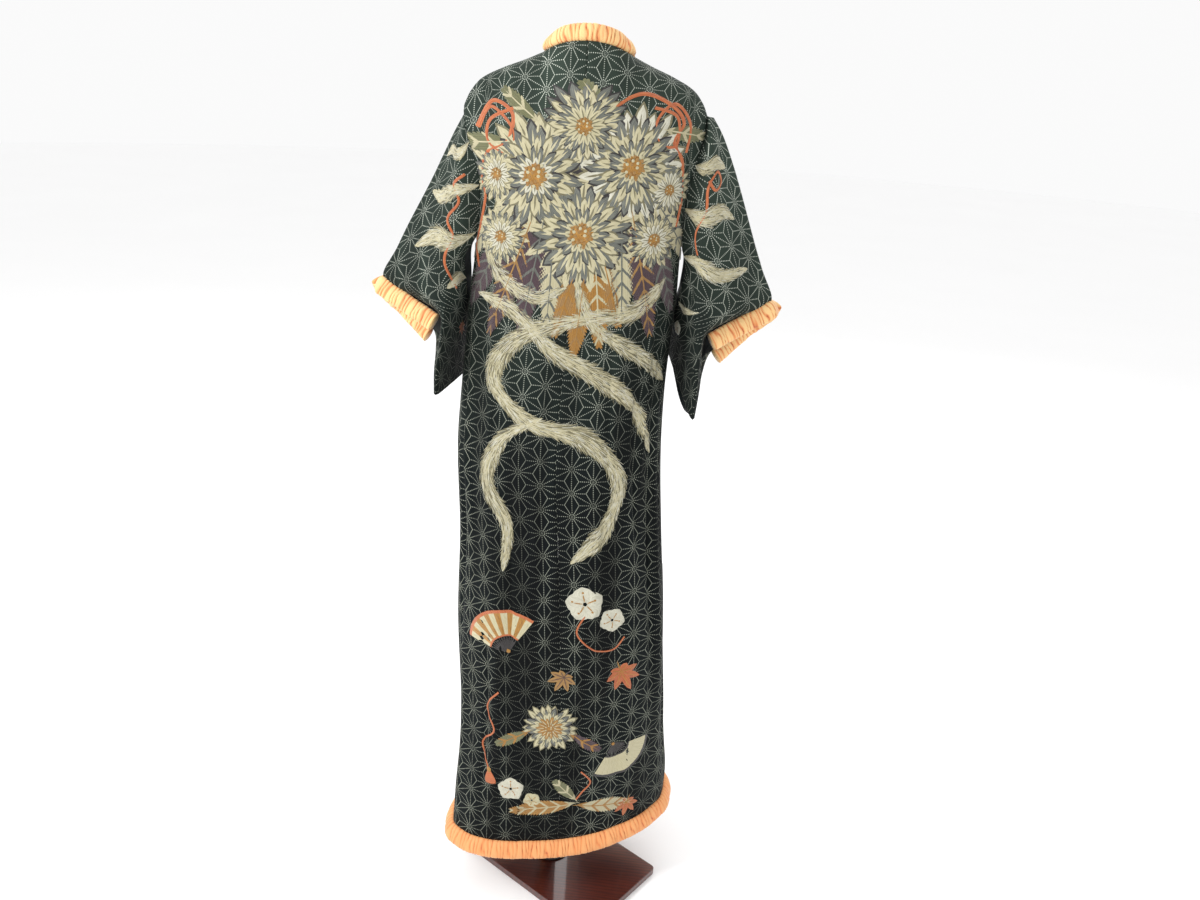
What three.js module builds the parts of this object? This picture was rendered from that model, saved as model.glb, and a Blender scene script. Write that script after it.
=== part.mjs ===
// A floor-length kimono worn open on a limbless dress form, with gathered trims at its edges.
// The wearer faces +Y, the wearer's right is +X, and the stand's board rests on Z = 0.
import * as THREE from "three";

// Cloth, in millimetres
const WALL = 2;
const SEAM = 0.3;
const HEM_HEIGHT = 140;
const HEM_LIFT_RIGHT = 30;
const HEM_LIFT_LEFT = 0;
const ROUNDNESS = 2.4;
const SHOULDER_ROUND = 120;
const NECK_PULL = 1.1;

// Neckline and shoulder
const NECK_HALF_WIDTH = 68;
const NECK_BACK_DEPTH = 58;
const NECK_BACK_HEIGHT = 1568;
const NECK_SIDE_HEIGHT = 1549;
const RIDGE_COLUMNS = ["across", "height"];
const RIDGE = [
  [68, 1549],
  [96, 1536.5],
  [130, 1523],
  [162, 1506],
  [178, 1487],
  [186, 1470],
];

// Level sections of the body: the side gap is the half angle left open for the armhole, wider on the left
const SECTION_COLUMNS = ["height", "halfWidth", "backDepth", "frontDepth", "centreX", "skew", "sideGap"];
const SECTIONS = [
  [60, 213, 110, 112, 12, 0.22, 0],
  [120, 210, 111, 113, 16, 0.21, 0],
  [220, 203, 112, 114, 16, 0.17, 0],
  [320, 193, 112, 113, 14, 0.13, 0],
  [430, 188, 112, 112, 11, 0.09, 0],
  [600, 186, 112, 112, 2, 0.05, 0],
  [760, 179, 111, 111, -7, 0.03, 0],
  [910, 176, 108, 108, -17, 0, 0],
  [1030, 171, 101, 104, -15, 0, 0],
  [1130, 169, 98, 104, -9, 0, 0],
  [1180, 170, 98, 106, -6, 0, 9],
  [1250, 171, 99, 107, -3, 0, 17],
  [1350, 172, 99, 104, 0, 0, 20],
  [1430, 174, 96, 98, 1, 0, 20],
  [1500, 177, 90, 90, 2, 0, 18],
  [1600, 177, 88, 88, 2, 0, 18],
];

const LEFT_GAP_SCALE = 1.45;
const ARMHOLE_PROBE = { share: 0.96, height: 2 };

// Hanging folds: angle from the centre back towards the wearer's right and spread, both in degrees
const FOLD_PEAK = 0.7;
const FOLD_COLUMNS = ["angle", "depth", "spread", "bottom", "top"];
const FOLDS = [
  [-74, 7, 8, 100, 900],
  [-52, -6, 9, 620, 1330],
  [-33, 4, 8, 160, 760],
  [-14, -3, 8, 90, 620],
  [12, 3, 9, 240, 1080],
  [29, -4, 7, 110, 700],
  [55, -6, 8, 560, 1320],
  [68, 7, 7, 120, 1080],
  [104, -6, 8, 90, 860],
  [124, 7, 8, 150, 1120],
  [143, -6, 8, 90, 980],
  [160, 4, 7, 420, 1200],
  [-101, -5, 8, 200, 980],
  [-121, 7, 8, 90, 1160],
  [-141, -6, 8, 90, 820],
  [-159, 5, 7, 300, 1200],
];

// Front edges, measured from the garment's centre line, and the wedge of the overlap panels
const FRONT_EDGE_COLUMNS = ["height", "across"];
const FRONT_EDGE = [
  [60, 42],
  [400, 44],
  [900, 46],
  [1150, 48],
  [1300, 52],
  [1450, 60],
  [1600, 70],
];
const OVERLAP_TOP = 1210;
const OVERLAP_HEM_WIDTH = 104;
const OVERLAP_TOP_WIDTH = 3;
const OVERLAP_FADE = 40;

// Sleeves: points of each level section of the wearer's right sleeve, from the garment's centre line.
// inner is the armhole or open inner edge, fold the near crease, rim the cuff side, far the front's belly.
// Lower down the inner edges lie higher than the rest of their row, by the rise.
const SLEEVE_COLUMNS = [
  "height", "innerX", "innerY", "foldX", "foldY", "backRimX", "backRimY", "crestX",
  "frontRimX", "frontRimY", "farX", "farY", "frontInnerX", "frontInnerY", "rise",
];
const SLEEVE = [
  [1461, 182, -16, 186, -18, 190, -9, 194, 190, 9, 186, 18, 182, 16, 0],
  [1435, 176, -34, 189, -38, 205, -12, 211, 205, 12, 191, 36, 176, 34, 0],
  [1396, 172, -42, 191, -52, 222, -13, 230, 222, 13, 200, 44, 172, 42, 0],
  [1350, 172, -44, 195, -64, 241, -14, 250, 241, 14, 214, 50, 172, 44, 0],
  [1283, 172, -44, 200, -74, 269, -14, 279, 269, 14, 235, 58, 172, 46, 0],
  [1243, 175, -40, 203, -79, 287, -14, 297, 287, 14, 250, 63, 177, 56, 0],
  [1193, 172, -28, 205, -82, 314, -13, 319, 315, 14, 262, 68, 178, 72, 4],
  [1170, 172.5, -12, 206, -84, 266, -34, 296, 310, 28, 256, 76, 178, 88, 8],
  [1148, 172.5, 6, 207, -86, 219, -60, 262, 288, 32, 248, 80, 178, 100, 14],
  [1106, 173.5, 22, 209, -87, 215, -70, 222, 238, 0, 234, 78, 178, 106, 22],
  [1082, 174.5, 36, 211, -87, 216, -72, 220, 222, -50, 226, 68, 178, 104, 32],
  [1052, 175, 44, 213, -87, 217, -77, 219, 219, -70, 216, 46, 179, 88, 40],
  [1014, 176, 46, 213, -84, 216, -80, 217, 216, -77, 200, -12, 180, 49, 50],
];
const CUFF_TOP_ROW = 6;
const CUFF_END_ROW = 9;
const SLEEVE_TOP_SHIFT = 8;
const SLEEVE_TIP_SHIFT = -8;
const SLEEVE_SPREAD = { right: 1.03, left: 0.94 };
const SLEEVE_SPREAD_FROM = 180;
const SLEEVE_FOLD_SHIFT = { right: 2, left: -8 };
const SLEEVE_FOLD_EASE = 20;
const SLEEVE_FOLD_RANGE = [230, 290];
const SLEEVE_RISE = { right: 1.5, left: 0 };
const CUFF_HANG = [0.42, 0.22, -0.88];
const SLEEVE_SEAM_ROWS = 5;

// Gathered trims
const TRIM_WIDTH = { hem: 38, cuff: 32, front: 27, neck: 27 };
const TRIM_THICKNESS = 16;
const TRIM_SIDES = 6;
const GATHER_PINCH = 0.85;
const TRIM_PROBE = 4;
const HEM_FLARE = 0.4;
const HEM_CLEARANCE = 0.9;
const HEM_END_SHARE = 0.9;
const HEM_SAMPLES = 16;
const HEM_PROBE = 20;
const FRONT_CLEARANCE = 0.9;
const FRONT_SAMPLES = 60;
const FRONT_EASE = 1.4;
const FRONT_END = 1.8;
const FRONT_INWARD = 0.1;
const NECK_SAMPLES = 24;
const NECK_TRIM_SHARE = 0.98;
const NECK_TRIM_LIFT = 3;
const NECK_TRIM_LEAN = [0.9, 0.25];
const CUFF_CLEARANCE = { right: 1.3, left: 2.4 };
const HEM_GATHERS = 48;
const FRONT_GATHERS = 54;
const NECK_GATHERS = 10;
const CUFF_GATHERS = 15;

// Dress form: level sections, and the pole and board that carry it
const FORM_COLUMNS = ["height", "halfWidth", "halfDepth"];
const FORM = [
  [780, 148, 84],
  [800, 154, 90],
  [880, 156, 92],
  [960, 146, 86],
  [1060, 124, 76],
  [1180, 136, 80],
  [1290, 146, 82],
  [1390, 154, 76],
  [1450, 162, 62],
  [1484, 165, 48],
  [1503.6, 160, 40],
  [1520.4, 129, 33],
  [1529, 106, 28],
  [1534, 72, 29],
  [1540, 50, 36],
  [1548, 44, 41],
  [1562, 43, 43],
  [1576, 43, 43],
];
const FORM_SIDES = 36;
const POLE_RADIUS = 11;
const POLE_SIDES = 24;
const FLANGE_RADIUS = 38;
const FLANGE_HEIGHT = 7;
const FLANGE_BEVEL = 4;
const BOARD_LENGTH = 385;
const BOARD_WIDTH = 214;
const BOARD_THICKNESS = 14;
const BOARD_CORNER = 9;
const BOARD_BEVEL = 1.5;
const BOARD_TURN = THREE.MathUtils.degToRad(141);

// Mesh steps
const BACK_STEPS = 14;
const NECK_STEPS = 4;
const OVERLAP_STEPS = 4;
const OVERLAP_HEIGHT_STEPS = 15;
const HEIGHT_STEPS = 18;
const ROUND_STEPS = 4;
const SLEEVE_STEPS = 5;
const RING_SAMPLES = 40;

const { lerp, clamp, degToRad, smoothstep } = THREE.MathUtils;

// A table's row at a value of its first column, by a cubic through the rows
function rowAt(columns, rows, value) {
  const last = rows.length - 1;
  const v = clamp(value, rows[0][0], rows[last][0]);
  let k = 0;
  while (k < last - 1 && v > rows[k + 1][0]) k++;
  const span = rows[k + 1][0] - rows[k][0];
  const t = (v - rows[k][0]) / span;
  const slope = (i, c) => {
    const a = rows[Math.max(i - 1, 0)];
    const b = rows[Math.min(i + 1, last)];
    return (b[c] - a[c]) / (b[0] - a[0]);
  };
  const row = {};
  columns.forEach((name, c) => {
    const p = rows[k][c];
    const q = rows[k + 1][c];
    const m = slope(k, c) * span;
    const n = slope(k + 1, c) * span;
    row[name] = p + t * (m + t * (3 * (q - p) - 2 * m - n + t * (2 * (p - q) + m + n)));
  });
  return row;
}

const named = (columns, row) => Object.fromEntries(columns.map((name, c) => [name, row[c]]));
const signedPower = (v, power) => Math.sign(v) * Math.abs(v) ** power;

// How far the hanging folds push the cloth out at an angle and a height
function foldOut(angle, height) {
  let out = 0;
  for (const row of FOLDS) {
    const fold = named(FOLD_COLUMNS, row);
    const rise = (height - fold.bottom) / (fold.top - fold.bottom);
    if (rise <= 0 || rise >= 1) continue;
    const across = (angle - fold.angle) / fold.spread;
    out += fold.depth * Math.exp(-across * across) * Math.sin(Math.PI * rise ** FOLD_PEAK);
  }
  return out;
}

// A point of the body's closed section, angle in degrees from the centre back
function ringPoint(angle, height) {
  const s = rowAt(SECTION_COLUMNS, SECTIONS, height);
  const turn = degToRad(angle);
  const across = signedPower(Math.sin(turn), 2 / ROUNDNESS);
  const along = signedPower(Math.cos(turn), 2 / ROUNDNESS);
  const out = foldOut(angle, height);
  const x = (s.halfWidth + out) * across;
  const y = -((along > 0 ? s.backDepth : s.frontDepth) + out) * along;
  return new THREE.Vector3(s.centreX + x, y + s.skew * x, height);
}

// The point at a share of the way along a fine line, with half a seam left free at both ends
function alongLine(points, share) {
  const lengths = [0];
  for (let i = 1; i < points.length; i++) lengths.push(lengths[i - 1] + points[i].distanceTo(points[i - 1]));
  const total = lengths[lengths.length - 1];
  const goal = SEAM / 2 + share * (total - SEAM);
  let k = 0;
  while (k < points.length - 2 && lengths[k + 1] < goal) k++;
  const t = (goal - lengths[k]) / (lengths[k + 1] - lengths[k]);
  return points[k].clone().lerp(points[k + 1], t);
}

// The section's angle where it lies a given distance in front of the side, measured from the centre line
function frontAngle(across, height) {
  const { halfWidth } = rowAt(SECTION_COLUMNS, SECTIONS, height);
  return 180 - THREE.MathUtils.radToDeg(Math.asin((across / halfWidth) ** (ROUNDNESS / 2)));
}

const frontEdgeAcross = (height) => rowAt(FRONT_EDGE_COLUMNS, FRONT_EDGE, height).across;

function overlapWidth(height) {
  const rise = clamp((height - HEM_HEIGHT) / (OVERLAP_TOP - HEM_HEIGHT), 0, 1);
  const fade = 1 - smoothstep(height, OVERLAP_TOP, OVERLAP_TOP + OVERLAP_FADE);
  return lerp(OVERLAP_HEM_WIDTH, OVERLAP_TOP_WIDTH, rise) * fade;
}

function sideGap(side, height) {
  const gap = rowAt(SECTION_COLUMNS, SECTIONS, height).sideGap;
  return side > 0 ? gap : gap * LEFT_GAP_SCALE;
}

// Panels as stretches of the section, each from an inner to an outer angle
const PANELS = {
  back: (height, side) => [0, 90 - sideGap(side, height)],
  front: (height, side) => [
    frontAngle(frontEdgeAcross(height) + overlapWidth(height), height),
    90 + sideGap(side, height),
  ],
  overlap: (height) => [
    frontAngle(frontEdgeAcross(height), height),
    frontAngle(frontEdgeAcross(height) + overlapWidth(height), height),
  ],
};

function panelPoint(panel, side, share, height) {
  const [from, to] = PANELS[panel](height, side);
  const line = [];
  for (let i = 0; i <= RING_SAMPLES; i++) {
    line.push(ringPoint(side * lerp(from, to, i / RING_SAMPLES), height));
  }
  return alongLine(line, share);
}

// The top of a column: the back neckline up to the neck's side, then the shoulder's ridge
function topPoint(share, side) {
  const neckShare = NECK_STEPS / BACK_STEPS;
  const centre = (height) => rowAt(SECTION_COLUMNS, SECTIONS, height).centreX;
  if (share < neckShare) {
    const turn = (Math.PI / 2) * (share / neckShare);
    const height = lerp(NECK_SIDE_HEIGHT, NECK_BACK_HEIGHT, Math.cos(turn) ** 2);
    const across = Math.max(NECK_HALF_WIDTH * Math.sin(turn), SEAM / 2);
    return new THREE.Vector3(centre(height) + side * across, -NECK_BACK_DEPTH * Math.cos(turn), height);
  }
  const line = [];
  for (let i = 0; i <= RING_SAMPLES; i++) {
    const across = lerp(RIDGE[0][0], RIDGE[RIDGE.length - 1][0], i / RING_SAMPLES);
    const { height } = rowAt(RIDGE_COLUMNS, RIDGE, across);
    line.push(new THREE.Vector3(centre(height) + side * across, 0, height));
  }
  const ridgeShare = (share - neckShare) / (1 - neckShare);
  const k = Math.min(Math.floor(ridgeShare * RING_SAMPLES), RING_SAMPLES - 1);
  return line[k].clone().lerp(line[k + 1], ridgeShare * RING_SAMPLES - k);
}

// A body panel's point: below the shoulder it lies on the section, and above that it rounds over to its top
function bodyPoint(panel, side, share, height) {
  const neckShare = NECK_STEPS / BACK_STEPS;
  const top = topPoint(panel === "back" ? share : lerp(neckShare, 1, share), side);
  const drop = clamp((top.z - height) / SHOULDER_ROUND, 0, 1);
  const level = panelPoint(panel, side, share, Math.min(height, top.z));
  const neckness = panel === "back" ? clamp(1 - share / neckShare, 0, 1) : 0;
  const round = Math.sqrt(1 - (1 - drop) ** 2) ** (1 + NECK_PULL * neckness);
  level.x = lerp(top.x, level.x, smoothstep(drop, 0, 1));
  level.y = lerp(top.y, level.y, round);
  return level;
}

// The hem lifts a little at both sides, more at the wearer's right
function hemHeight(panel, side, share) {
  const level = panelPoint(panel, side, share, HEM_HEIGHT);
  const lift = level.x > 0 ? HEM_LIFT_RIGHT : HEM_LIFT_LEFT;
  return HEM_HEIGHT + lift * (level.x / SECTIONS[0][1]) ** 2;
}

// The height of a step up a column, with fine steps where the cloth rounds over the shoulder
function stepHeight(step, hem, top) {
  const roundBottom = top - SHOULDER_ROUND;
  if (step <= HEIGHT_STEPS) return lerp(hem, roundBottom, step / HEIGHT_STEPS);
  const turn = (Math.PI / 2) * (1 - (step - HEIGHT_STEPS) / ROUND_STEPS);
  return top - SHOULDER_ROUND * (1 - Math.cos(turn));
}

// A sheet that is gathered corner by corner, then thickened along its normals into one closed wall
class Sheet {
  constructor(flip) {
    this.points = [];
    this.normals = new Map();
    this.corners = [];
    this.flip = flip;
  }
  add(point) {
    return this.points.push(point) - 1;
  }
  patch(a, b, c, d) {
    this.corners.push(this.flip ? [d, c, b, a] : [a, b, c, d]);
  }
  fill(rows, skip = () => false) {
    for (let i = 0; i + 1 < rows.length; i++) {
      for (let j = 0; j + 1 < rows[i].length; j++) {
        if (!skip(i, j)) this.patch(rows[i][j], rows[i][j + 1], rows[i + 1][j + 1], rows[i + 1][j]);
      }
    }
  }
  solid() {
    const count = this.points.length;
    const normals = this.points.map(() => new THREE.Vector3());
    for (const [a, b, c, d] of this.corners) {
      const across = this.points[c].clone().sub(this.points[a]);
      const face = across.cross(this.points[d].clone().sub(this.points[b]));
      for (const k of [a, b, c, d]) normals[k].add(face);
    }
    this.normals.forEach((normal, k) => normals[k].copy(normal));
    const positions = [];
    for (const away of [WALL / 2, -WALL / 2]) {
      this.points.forEach((p, k) => {
        positions.push(...p.clone().addScaledVector(normals[k].normalize(), away));
      });
    }
    const index = [];
    const edges = new Map();
    for (const [a, b, c, d] of this.corners) {
      index.push(a, b, c, a, c, d);
      index.push(count + a, count + c, count + b, count + a, count + d, count + c);
      [[a, b], [b, c], [c, d], [d, a]].forEach(([p, q]) => edges.set(`${p},${q}`, [p, q]));
    }
    edges.forEach(([p, q]) => {
      if (!edges.has(`${q},${p}`)) index.push(p, count + p, q, q, count + p, count + q);
    });
    return closedGeometry(positions, index);
  }
}

function closedGeometry(positions, index) {
  const geometry = new THREE.BufferGeometry();
  geometry.setAttribute("position", new THREE.Float32BufferAttribute(positions, 3));
  geometry.setIndex(index);
  geometry.computeVertexNormals();
  return geometry;
}

// The cloth's normal on the centre back seam, alike for both lengths of cloth
function centreBackNormal(side, height) {
  const below = bodyPoint("back", side, 0, height - 2);
  const up = bodyPoint("back", side, 0, height).sub(below);
  return new THREE.Vector3(0, -up.z, up.y).normalize();
}

// One length of cloth from the back hem over the shoulder to the front hem
function bodyGeometry(side) {
  const sheet = new Sheet(side < 0);
  const steps = HEIGHT_STEPS + ROUND_STEPS;
  const back = [];
  for (let i = 0; i <= steps; i++) {
    const row = [];
    for (let j = 0; j <= BACK_STEPS; j++) {
      const share = j / BACK_STEPS;
      const height = stepHeight(i, hemHeight("back", side, share), topPoint(share, side).z);
      row.push(sheet.add(bodyPoint("back", side, share, height)));
      if (j === 0 && i > HEIGHT_STEPS) sheet.normals.set(row[0], centreBackNormal(side, height));
    }
    back.push(row);
  }
  const frontSteps = BACK_STEPS - NECK_STEPS;
  const front = [];
  for (let i = 0; i < steps; i++) {
    const row = [];
    for (let j = 0; j <= frontSteps; j++) {
      const share = j / frontSteps;
      const top = topPoint((j + NECK_STEPS) / BACK_STEPS, side).z;
      const height = stepHeight(i, hemHeight("front", side, share), top);
      row.push(sheet.add(bodyPoint("front", side, share, height)));
    }
    front.push(row);
  }
  front.push(back[steps].slice(NECK_STEPS));
  sheet.fill(back);
  sheet.fill([...front].reverse());
  return sheet.solid();
}

function overlapGeometry(side) {
  const sheet = new Sheet(side > 0);
  const rows = [];
  for (let i = 0; i <= OVERLAP_HEIGHT_STEPS; i++) {
    const row = [];
    for (let j = 0; j <= OVERLAP_STEPS; j++) {
      const share = j / OVERLAP_STEPS;
      const height = stepHeight(i, hemHeight("overlap", side, share), NECK_SIDE_HEIGHT);
      row.push(sheet.add(panelPoint("overlap", side, share, height)));
    }
    rows.push(row);
  }
  sheet.fill(rows);
  return sheet.solid();
}

// The sleeve hangs a little lower on one side than on the other
function sleeveHeight(height, side) {
  const top = SLEEVE[0][0];
  const tip = SLEEVE[SLEEVE.length - 1][0];
  return height + side * lerp(SLEEVE_TOP_SHIFT, SLEEVE_TIP_SHIFT, (top - height) / (top - tip));
}

// The armhole's edge of the body, one seam further out, with the cloth's own normal there
function armholePoint(panel, side, step) {
  const height = stepHeight(step, hemHeight(panel, side, 1), topPoint(1, side).z);
  const edge = bodyPoint(panel, side, 1, height);
  const inside = bodyPoint(panel, side, ARMHOLE_PROBE.share, height);
  const above = bodyPoint(panel, side, 1, height + ARMHOLE_PROBE.height);
  const outward = edge.clone().sub(inside).normalize();
  const normal = outward.clone().cross(above.clone().sub(edge).normalize());
  normal.multiplyScalar(panel === "back" ? side : -side).normalize();
  return { point: edge.clone().addScaledVector(outward, SEAM), normal };
}

// A line of the sleeve's layer through three named points
function layerLine(a, b, c, steps) {
  const curve = new THREE.CatmullRomCurve3([a, b, c], false, "centripetal");
  return curve.getPoints(steps);
}

function sleeveRow(row, number, side) {
  const s = named(SLEEVE_COLUMNS, row);
  const height = sleeveHeight(s.height, side);
  const centre = rowAt(SECTION_COLUMNS, SECTIONS, height).centreX;
  const hand = side > 0 ? "right" : "left";
  const at = (x, y, rise = 0) => {
    const beyond = Math.max(x - SLEEVE_SPREAD_FROM, 0);
    const nearFold = clamp(beyond / SLEEVE_FOLD_EASE, 0, 1) * (1 - smoothstep(x, ...SLEEVE_FOLD_RANGE));
    const across = x + beyond * (SLEEVE_SPREAD[hand] - 1) + SLEEVE_FOLD_SHIFT[hand] * nearFold;
    return new THREE.Vector3(centre + side * across, y, height + rise * SLEEVE_RISE[hand]);
  };
  let inner = { point: at(s.innerX, s.innerY, s.rise) };
  let frontInner = { point: at(s.frontInnerX, s.frontInnerY, s.rise) };
  if (number < SLEEVE_SEAM_ROWS) {
    const step = HEIGHT_STEPS + ROUND_STEPS - 1 - number;
    inner = armholePoint("back", side, step);
    frontInner = armholePoint("front", side, step);
  }
  const backRim = at(s.backRimX, s.backRimY);
  const frontRim = at(s.frontRimX, s.frontRimY);
  const crest = at(s.crestX, (s.backRimY + s.frontRimY) / 2);
  return {
    back: layerLine(inner.point, at(s.foldX, s.foldY), backRim, SLEEVE_STEPS),
    crest,
    front: layerLine(frontRim, at(s.farX, s.farY), frontInner.point, SLEEVE_STEPS),
    innerNormal: inner.normal,
    frontInnerNormal: frontInner.normal,
  };
}

// A sleeve folded over its top, open at the cuff and along its inner edge
function sleeveGeometry(side) {
  const sheet = new Sheet(side > 0);
  const rows = SLEEVE.map((row, number) => {
    const line = sleeveRow(row, number, side);
    const numbers = [...line.back, line.crest, ...line.front].map((p) => sheet.add(p));
    if (line.innerNormal) {
      sheet.normals.set(numbers[0], line.innerNormal);
      sheet.normals.set(numbers[numbers.length - 1], line.frontInnerNormal);
    }
    return numbers;
  });
  const openRow = (i) => i >= CUFF_TOP_ROW && i < CUFF_END_ROW;
  const crestCell = (j) => j === SLEEVE_STEPS || j === SLEEVE_STEPS + 1;
  sheet.fill(rows, (i, j) => openRow(i) && crestCell(j));
  return sheet.solid();
}

// A gathered band along an edge: path points lie on the edge, and away points from the cloth into the band
function trimGeometry(path, away, width, gathers, clearance = SEAM) {
  const samples = 2 * gathers + 1;
  const spans = [0];
  for (let i = 1; i < path.length; i++) spans.push(spans[i - 1] + path[i].distanceTo(path[i - 1]));
  const total = spans[spans.length - 1];
  const at = (list, distance) => {
    let k = 0;
    while (k < path.length - 2 && spans[k + 1] < distance) k++;
    return list[k].clone().lerp(list[k + 1], clamp((distance - spans[k]) / (spans[k + 1] - spans[k]), 0, 1));
  };
  const reach = (width / 2) * Math.cos(Math.PI / TRIM_SIDES) + clearance;
  const positions = [];
  const index = [];
  for (let i = 0; i < samples; i++) {
    const distance = (total * i) / (samples - 1);
    const edge = at(path, distance);
    const ahead = at(path, Math.min(distance + TRIM_PROBE, total));
    const behind = at(path, Math.max(distance - TRIM_PROBE, 0));
    const along = ahead.sub(behind).normalize();
    const out = at(away, distance);
    out.addScaledVector(along, -out.dot(along)).normalize();
    const normal = along.clone().cross(out).normalize();
    const centre = edge.addScaledVector(out, reach);
    const size = i % 2 ? 1 : GATHER_PINCH;
    for (let k = 0; k < TRIM_SIDES; k++) {
      const turn = (2 * Math.PI * (k + 0.5)) / TRIM_SIDES;
      const corner = centre.clone().addScaledVector(out, (width / 2) * size * Math.cos(turn));
      corner.addScaledVector(normal, (TRIM_THICKNESS / 2) * size * Math.sin(turn));
      positions.push(...corner);
    }
  }
  for (let i = 0; i + 1 < samples; i++) {
    for (let k = 0; k < TRIM_SIDES; k++) {
      const a = i * TRIM_SIDES + k;
      const b = i * TRIM_SIDES + ((k + 1) % TRIM_SIDES);
      index.push(a, b, a + TRIM_SIDES, b, b + TRIM_SIDES, a + TRIM_SIDES);
    }
  }
  const end = (samples - 1) * TRIM_SIDES;
  for (let k = 1; k + 1 < TRIM_SIDES; k++) {
    index.push(0, k + 1, k);
    index.push(end, end + k, end + k + 1);
  }
  return closedGeometry(positions, index);
}

// The hem's band runs from one front edge round the back to the other
function hemTrimGeometry() {
  const path = [];
  const away = [];
  const corner = (TRIM_WIDTH.front + SEAM) * HEM_END_SHARE;
  const stretch = (panel, side, shares) => {
    for (const share of shares) {
      const height = hemHeight(panel, side, share);
      const edge = panelPoint(panel, side, share, height);
      const down = edge.clone().sub(panelPoint(panel, side, share, height + HEM_PROBE)).normalize();
      const { centreX } = rowAt(SECTION_COLUMNS, SECTIONS, height);
      const outward = new THREE.Vector3(edge.x - centreX, edge.y, 0).normalize();
      path.push(edge);
      away.push(down.addScaledVector(outward, HEM_FLARE).normalize());
    }
  };
  const shares = Array.from({ length: HEM_SAMPLES + 1 }, (_, i) => i / HEM_SAMPLES);
  stretch("overlap", -1, shares.slice(0, -1));
  stretch("front", -1, shares.slice(0, -1));
  stretch("back", -1, [...shares].reverse().slice(0, -1));
  stretch("back", 1, shares.slice(1, -1));
  stretch("front", 1, [...shares].reverse().slice(0, -1));
  stretch("overlap", 1, [...shares].reverse());
  const first = path[0].clone().add(path[0].clone().sub(path[1]).setLength(corner));
  const last = path[path.length - 1];
  const end = last.clone().add(last.clone().sub(path[path.length - 2]).setLength(corner));
  const ends = { path: [first, ...path, end], away: [away[0], ...away, away[away.length - 1]] };
  return trimGeometry(ends.path, ends.away, TRIM_WIDTH.hem, HEM_GATHERS, HEM_CLEARANCE);
}

// A front edge's band runs from the hem up to the side of the neck
function frontEdgePoint(side, height, inward) {
  if (height < OVERLAP_TOP) return panelPoint("overlap", side, inward, height);
  return bodyPoint("front", side, inward * FRONT_INWARD, height);
}

function frontTrimGeometry(side) {
  const path = [];
  const away = [];
  const bottom = hemHeight("overlap", side, 0) + FRONT_END;
  const top = NECK_SIDE_HEIGHT - FRONT_END;
  for (let i = 0; i <= FRONT_SAMPLES; i++) {
    const height = lerp(bottom, top, 1 - (1 - i / FRONT_SAMPLES) ** FRONT_EASE);
    const edge = frontEdgePoint(side, height, 0);
    path.push(edge);
    away.push(edge.clone().sub(frontEdgePoint(side, height, 0.5)).normalize());
  }
  return trimGeometry(path, away, TRIM_WIDTH.front, FRONT_GATHERS, FRONT_CLEARANCE);
}

// The neck's band stands up behind the neck and leans in at its sides
function neckTrimGeometry() {
  const path = [];
  const away = [];
  for (let i = 0; i <= NECK_SAMPLES; i++) {
    const turn = lerp(-1, 1, i / NECK_SAMPLES);
    const share = (Math.abs(turn) * NECK_STEPS) / BACK_STEPS;
    const side = turn < 0 ? -1 : 1;
    const lift = new THREE.Vector3(0, 0, NECK_TRIM_LIFT * Math.abs(turn));
    path.push(topPoint(share * NECK_TRIM_SHARE, side).add(lift));
    away.push(new THREE.Vector3(-turn * NECK_TRIM_LEAN[0], NECK_TRIM_LEAN[1], 1).normalize());
  }
  return trimGeometry(path, away, TRIM_WIDTH.neck, NECK_GATHERS);
}

// A cuff's band runs from the lower end of the opening over the top fold and back down the front layer
function cuffTrimGeometry(side) {
  const path = [];
  const away = [];
  const rows = SLEEVE.map((row, number) => sleeveRow(row, number, side));
  const push = (edge, layer) => {
    path.push(edge);
    away.push(new THREE.Vector3(side * CUFF_HANG[0], layer * CUFF_HANG[1], CUFF_HANG[2]));
  };
  for (let i = CUFF_END_ROW - 1; i > CUFF_TOP_ROW; i--) push(rows[i].back[SLEEVE_STEPS], -1);
  push(rows[CUFF_TOP_ROW].back[SLEEVE_STEPS], -1);
  push(rows[CUFF_TOP_ROW].crest, 0);
  push(rows[CUFF_TOP_ROW].front[0], 1);
  for (let i = CUFF_TOP_ROW + 1; i <= CUFF_END_ROW; i++) push(rows[i].front[0], 1);
  const clearance = side > 0 ? CUFF_CLEARANCE.right : CUFF_CLEARANCE.left;
  return trimGeometry(path, away, TRIM_WIDTH.cuff, CUFF_GATHERS, clearance);
}

// The dress form: rings joined from its flat underside to the flat top of its neck
function formGeometry() {
  const positions = [];
  const index = [];
  FORM.forEach((row) => {
    const { height, halfWidth, halfDepth } = named(FORM_COLUMNS, row);
    const { centreX } = rowAt(SECTION_COLUMNS, SECTIONS, height);
    for (let k = 0; k < FORM_SIDES; k++) {
      const turn = (2 * Math.PI * k) / FORM_SIDES;
      positions.push(centreX + halfWidth * Math.cos(turn), halfDepth * Math.sin(turn), height);
    }
  });
  for (let i = 0; i + 1 < FORM.length; i++) {
    for (let k = 0; k < FORM_SIDES; k++) {
      const a = i * FORM_SIDES + k;
      const b = i * FORM_SIDES + ((k + 1) % FORM_SIDES);
      index.push(a, b, a + FORM_SIDES, b, b + FORM_SIDES, a + FORM_SIDES);
    }
  }
  const top = (FORM.length - 1) * FORM_SIDES;
  for (let k = 1; k + 1 < FORM_SIDES; k++) {
    index.push(0, k + 1, k);
    index.push(top, top + k, top + k + 1);
  }
  return closedGeometry(positions, index);
}

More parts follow.
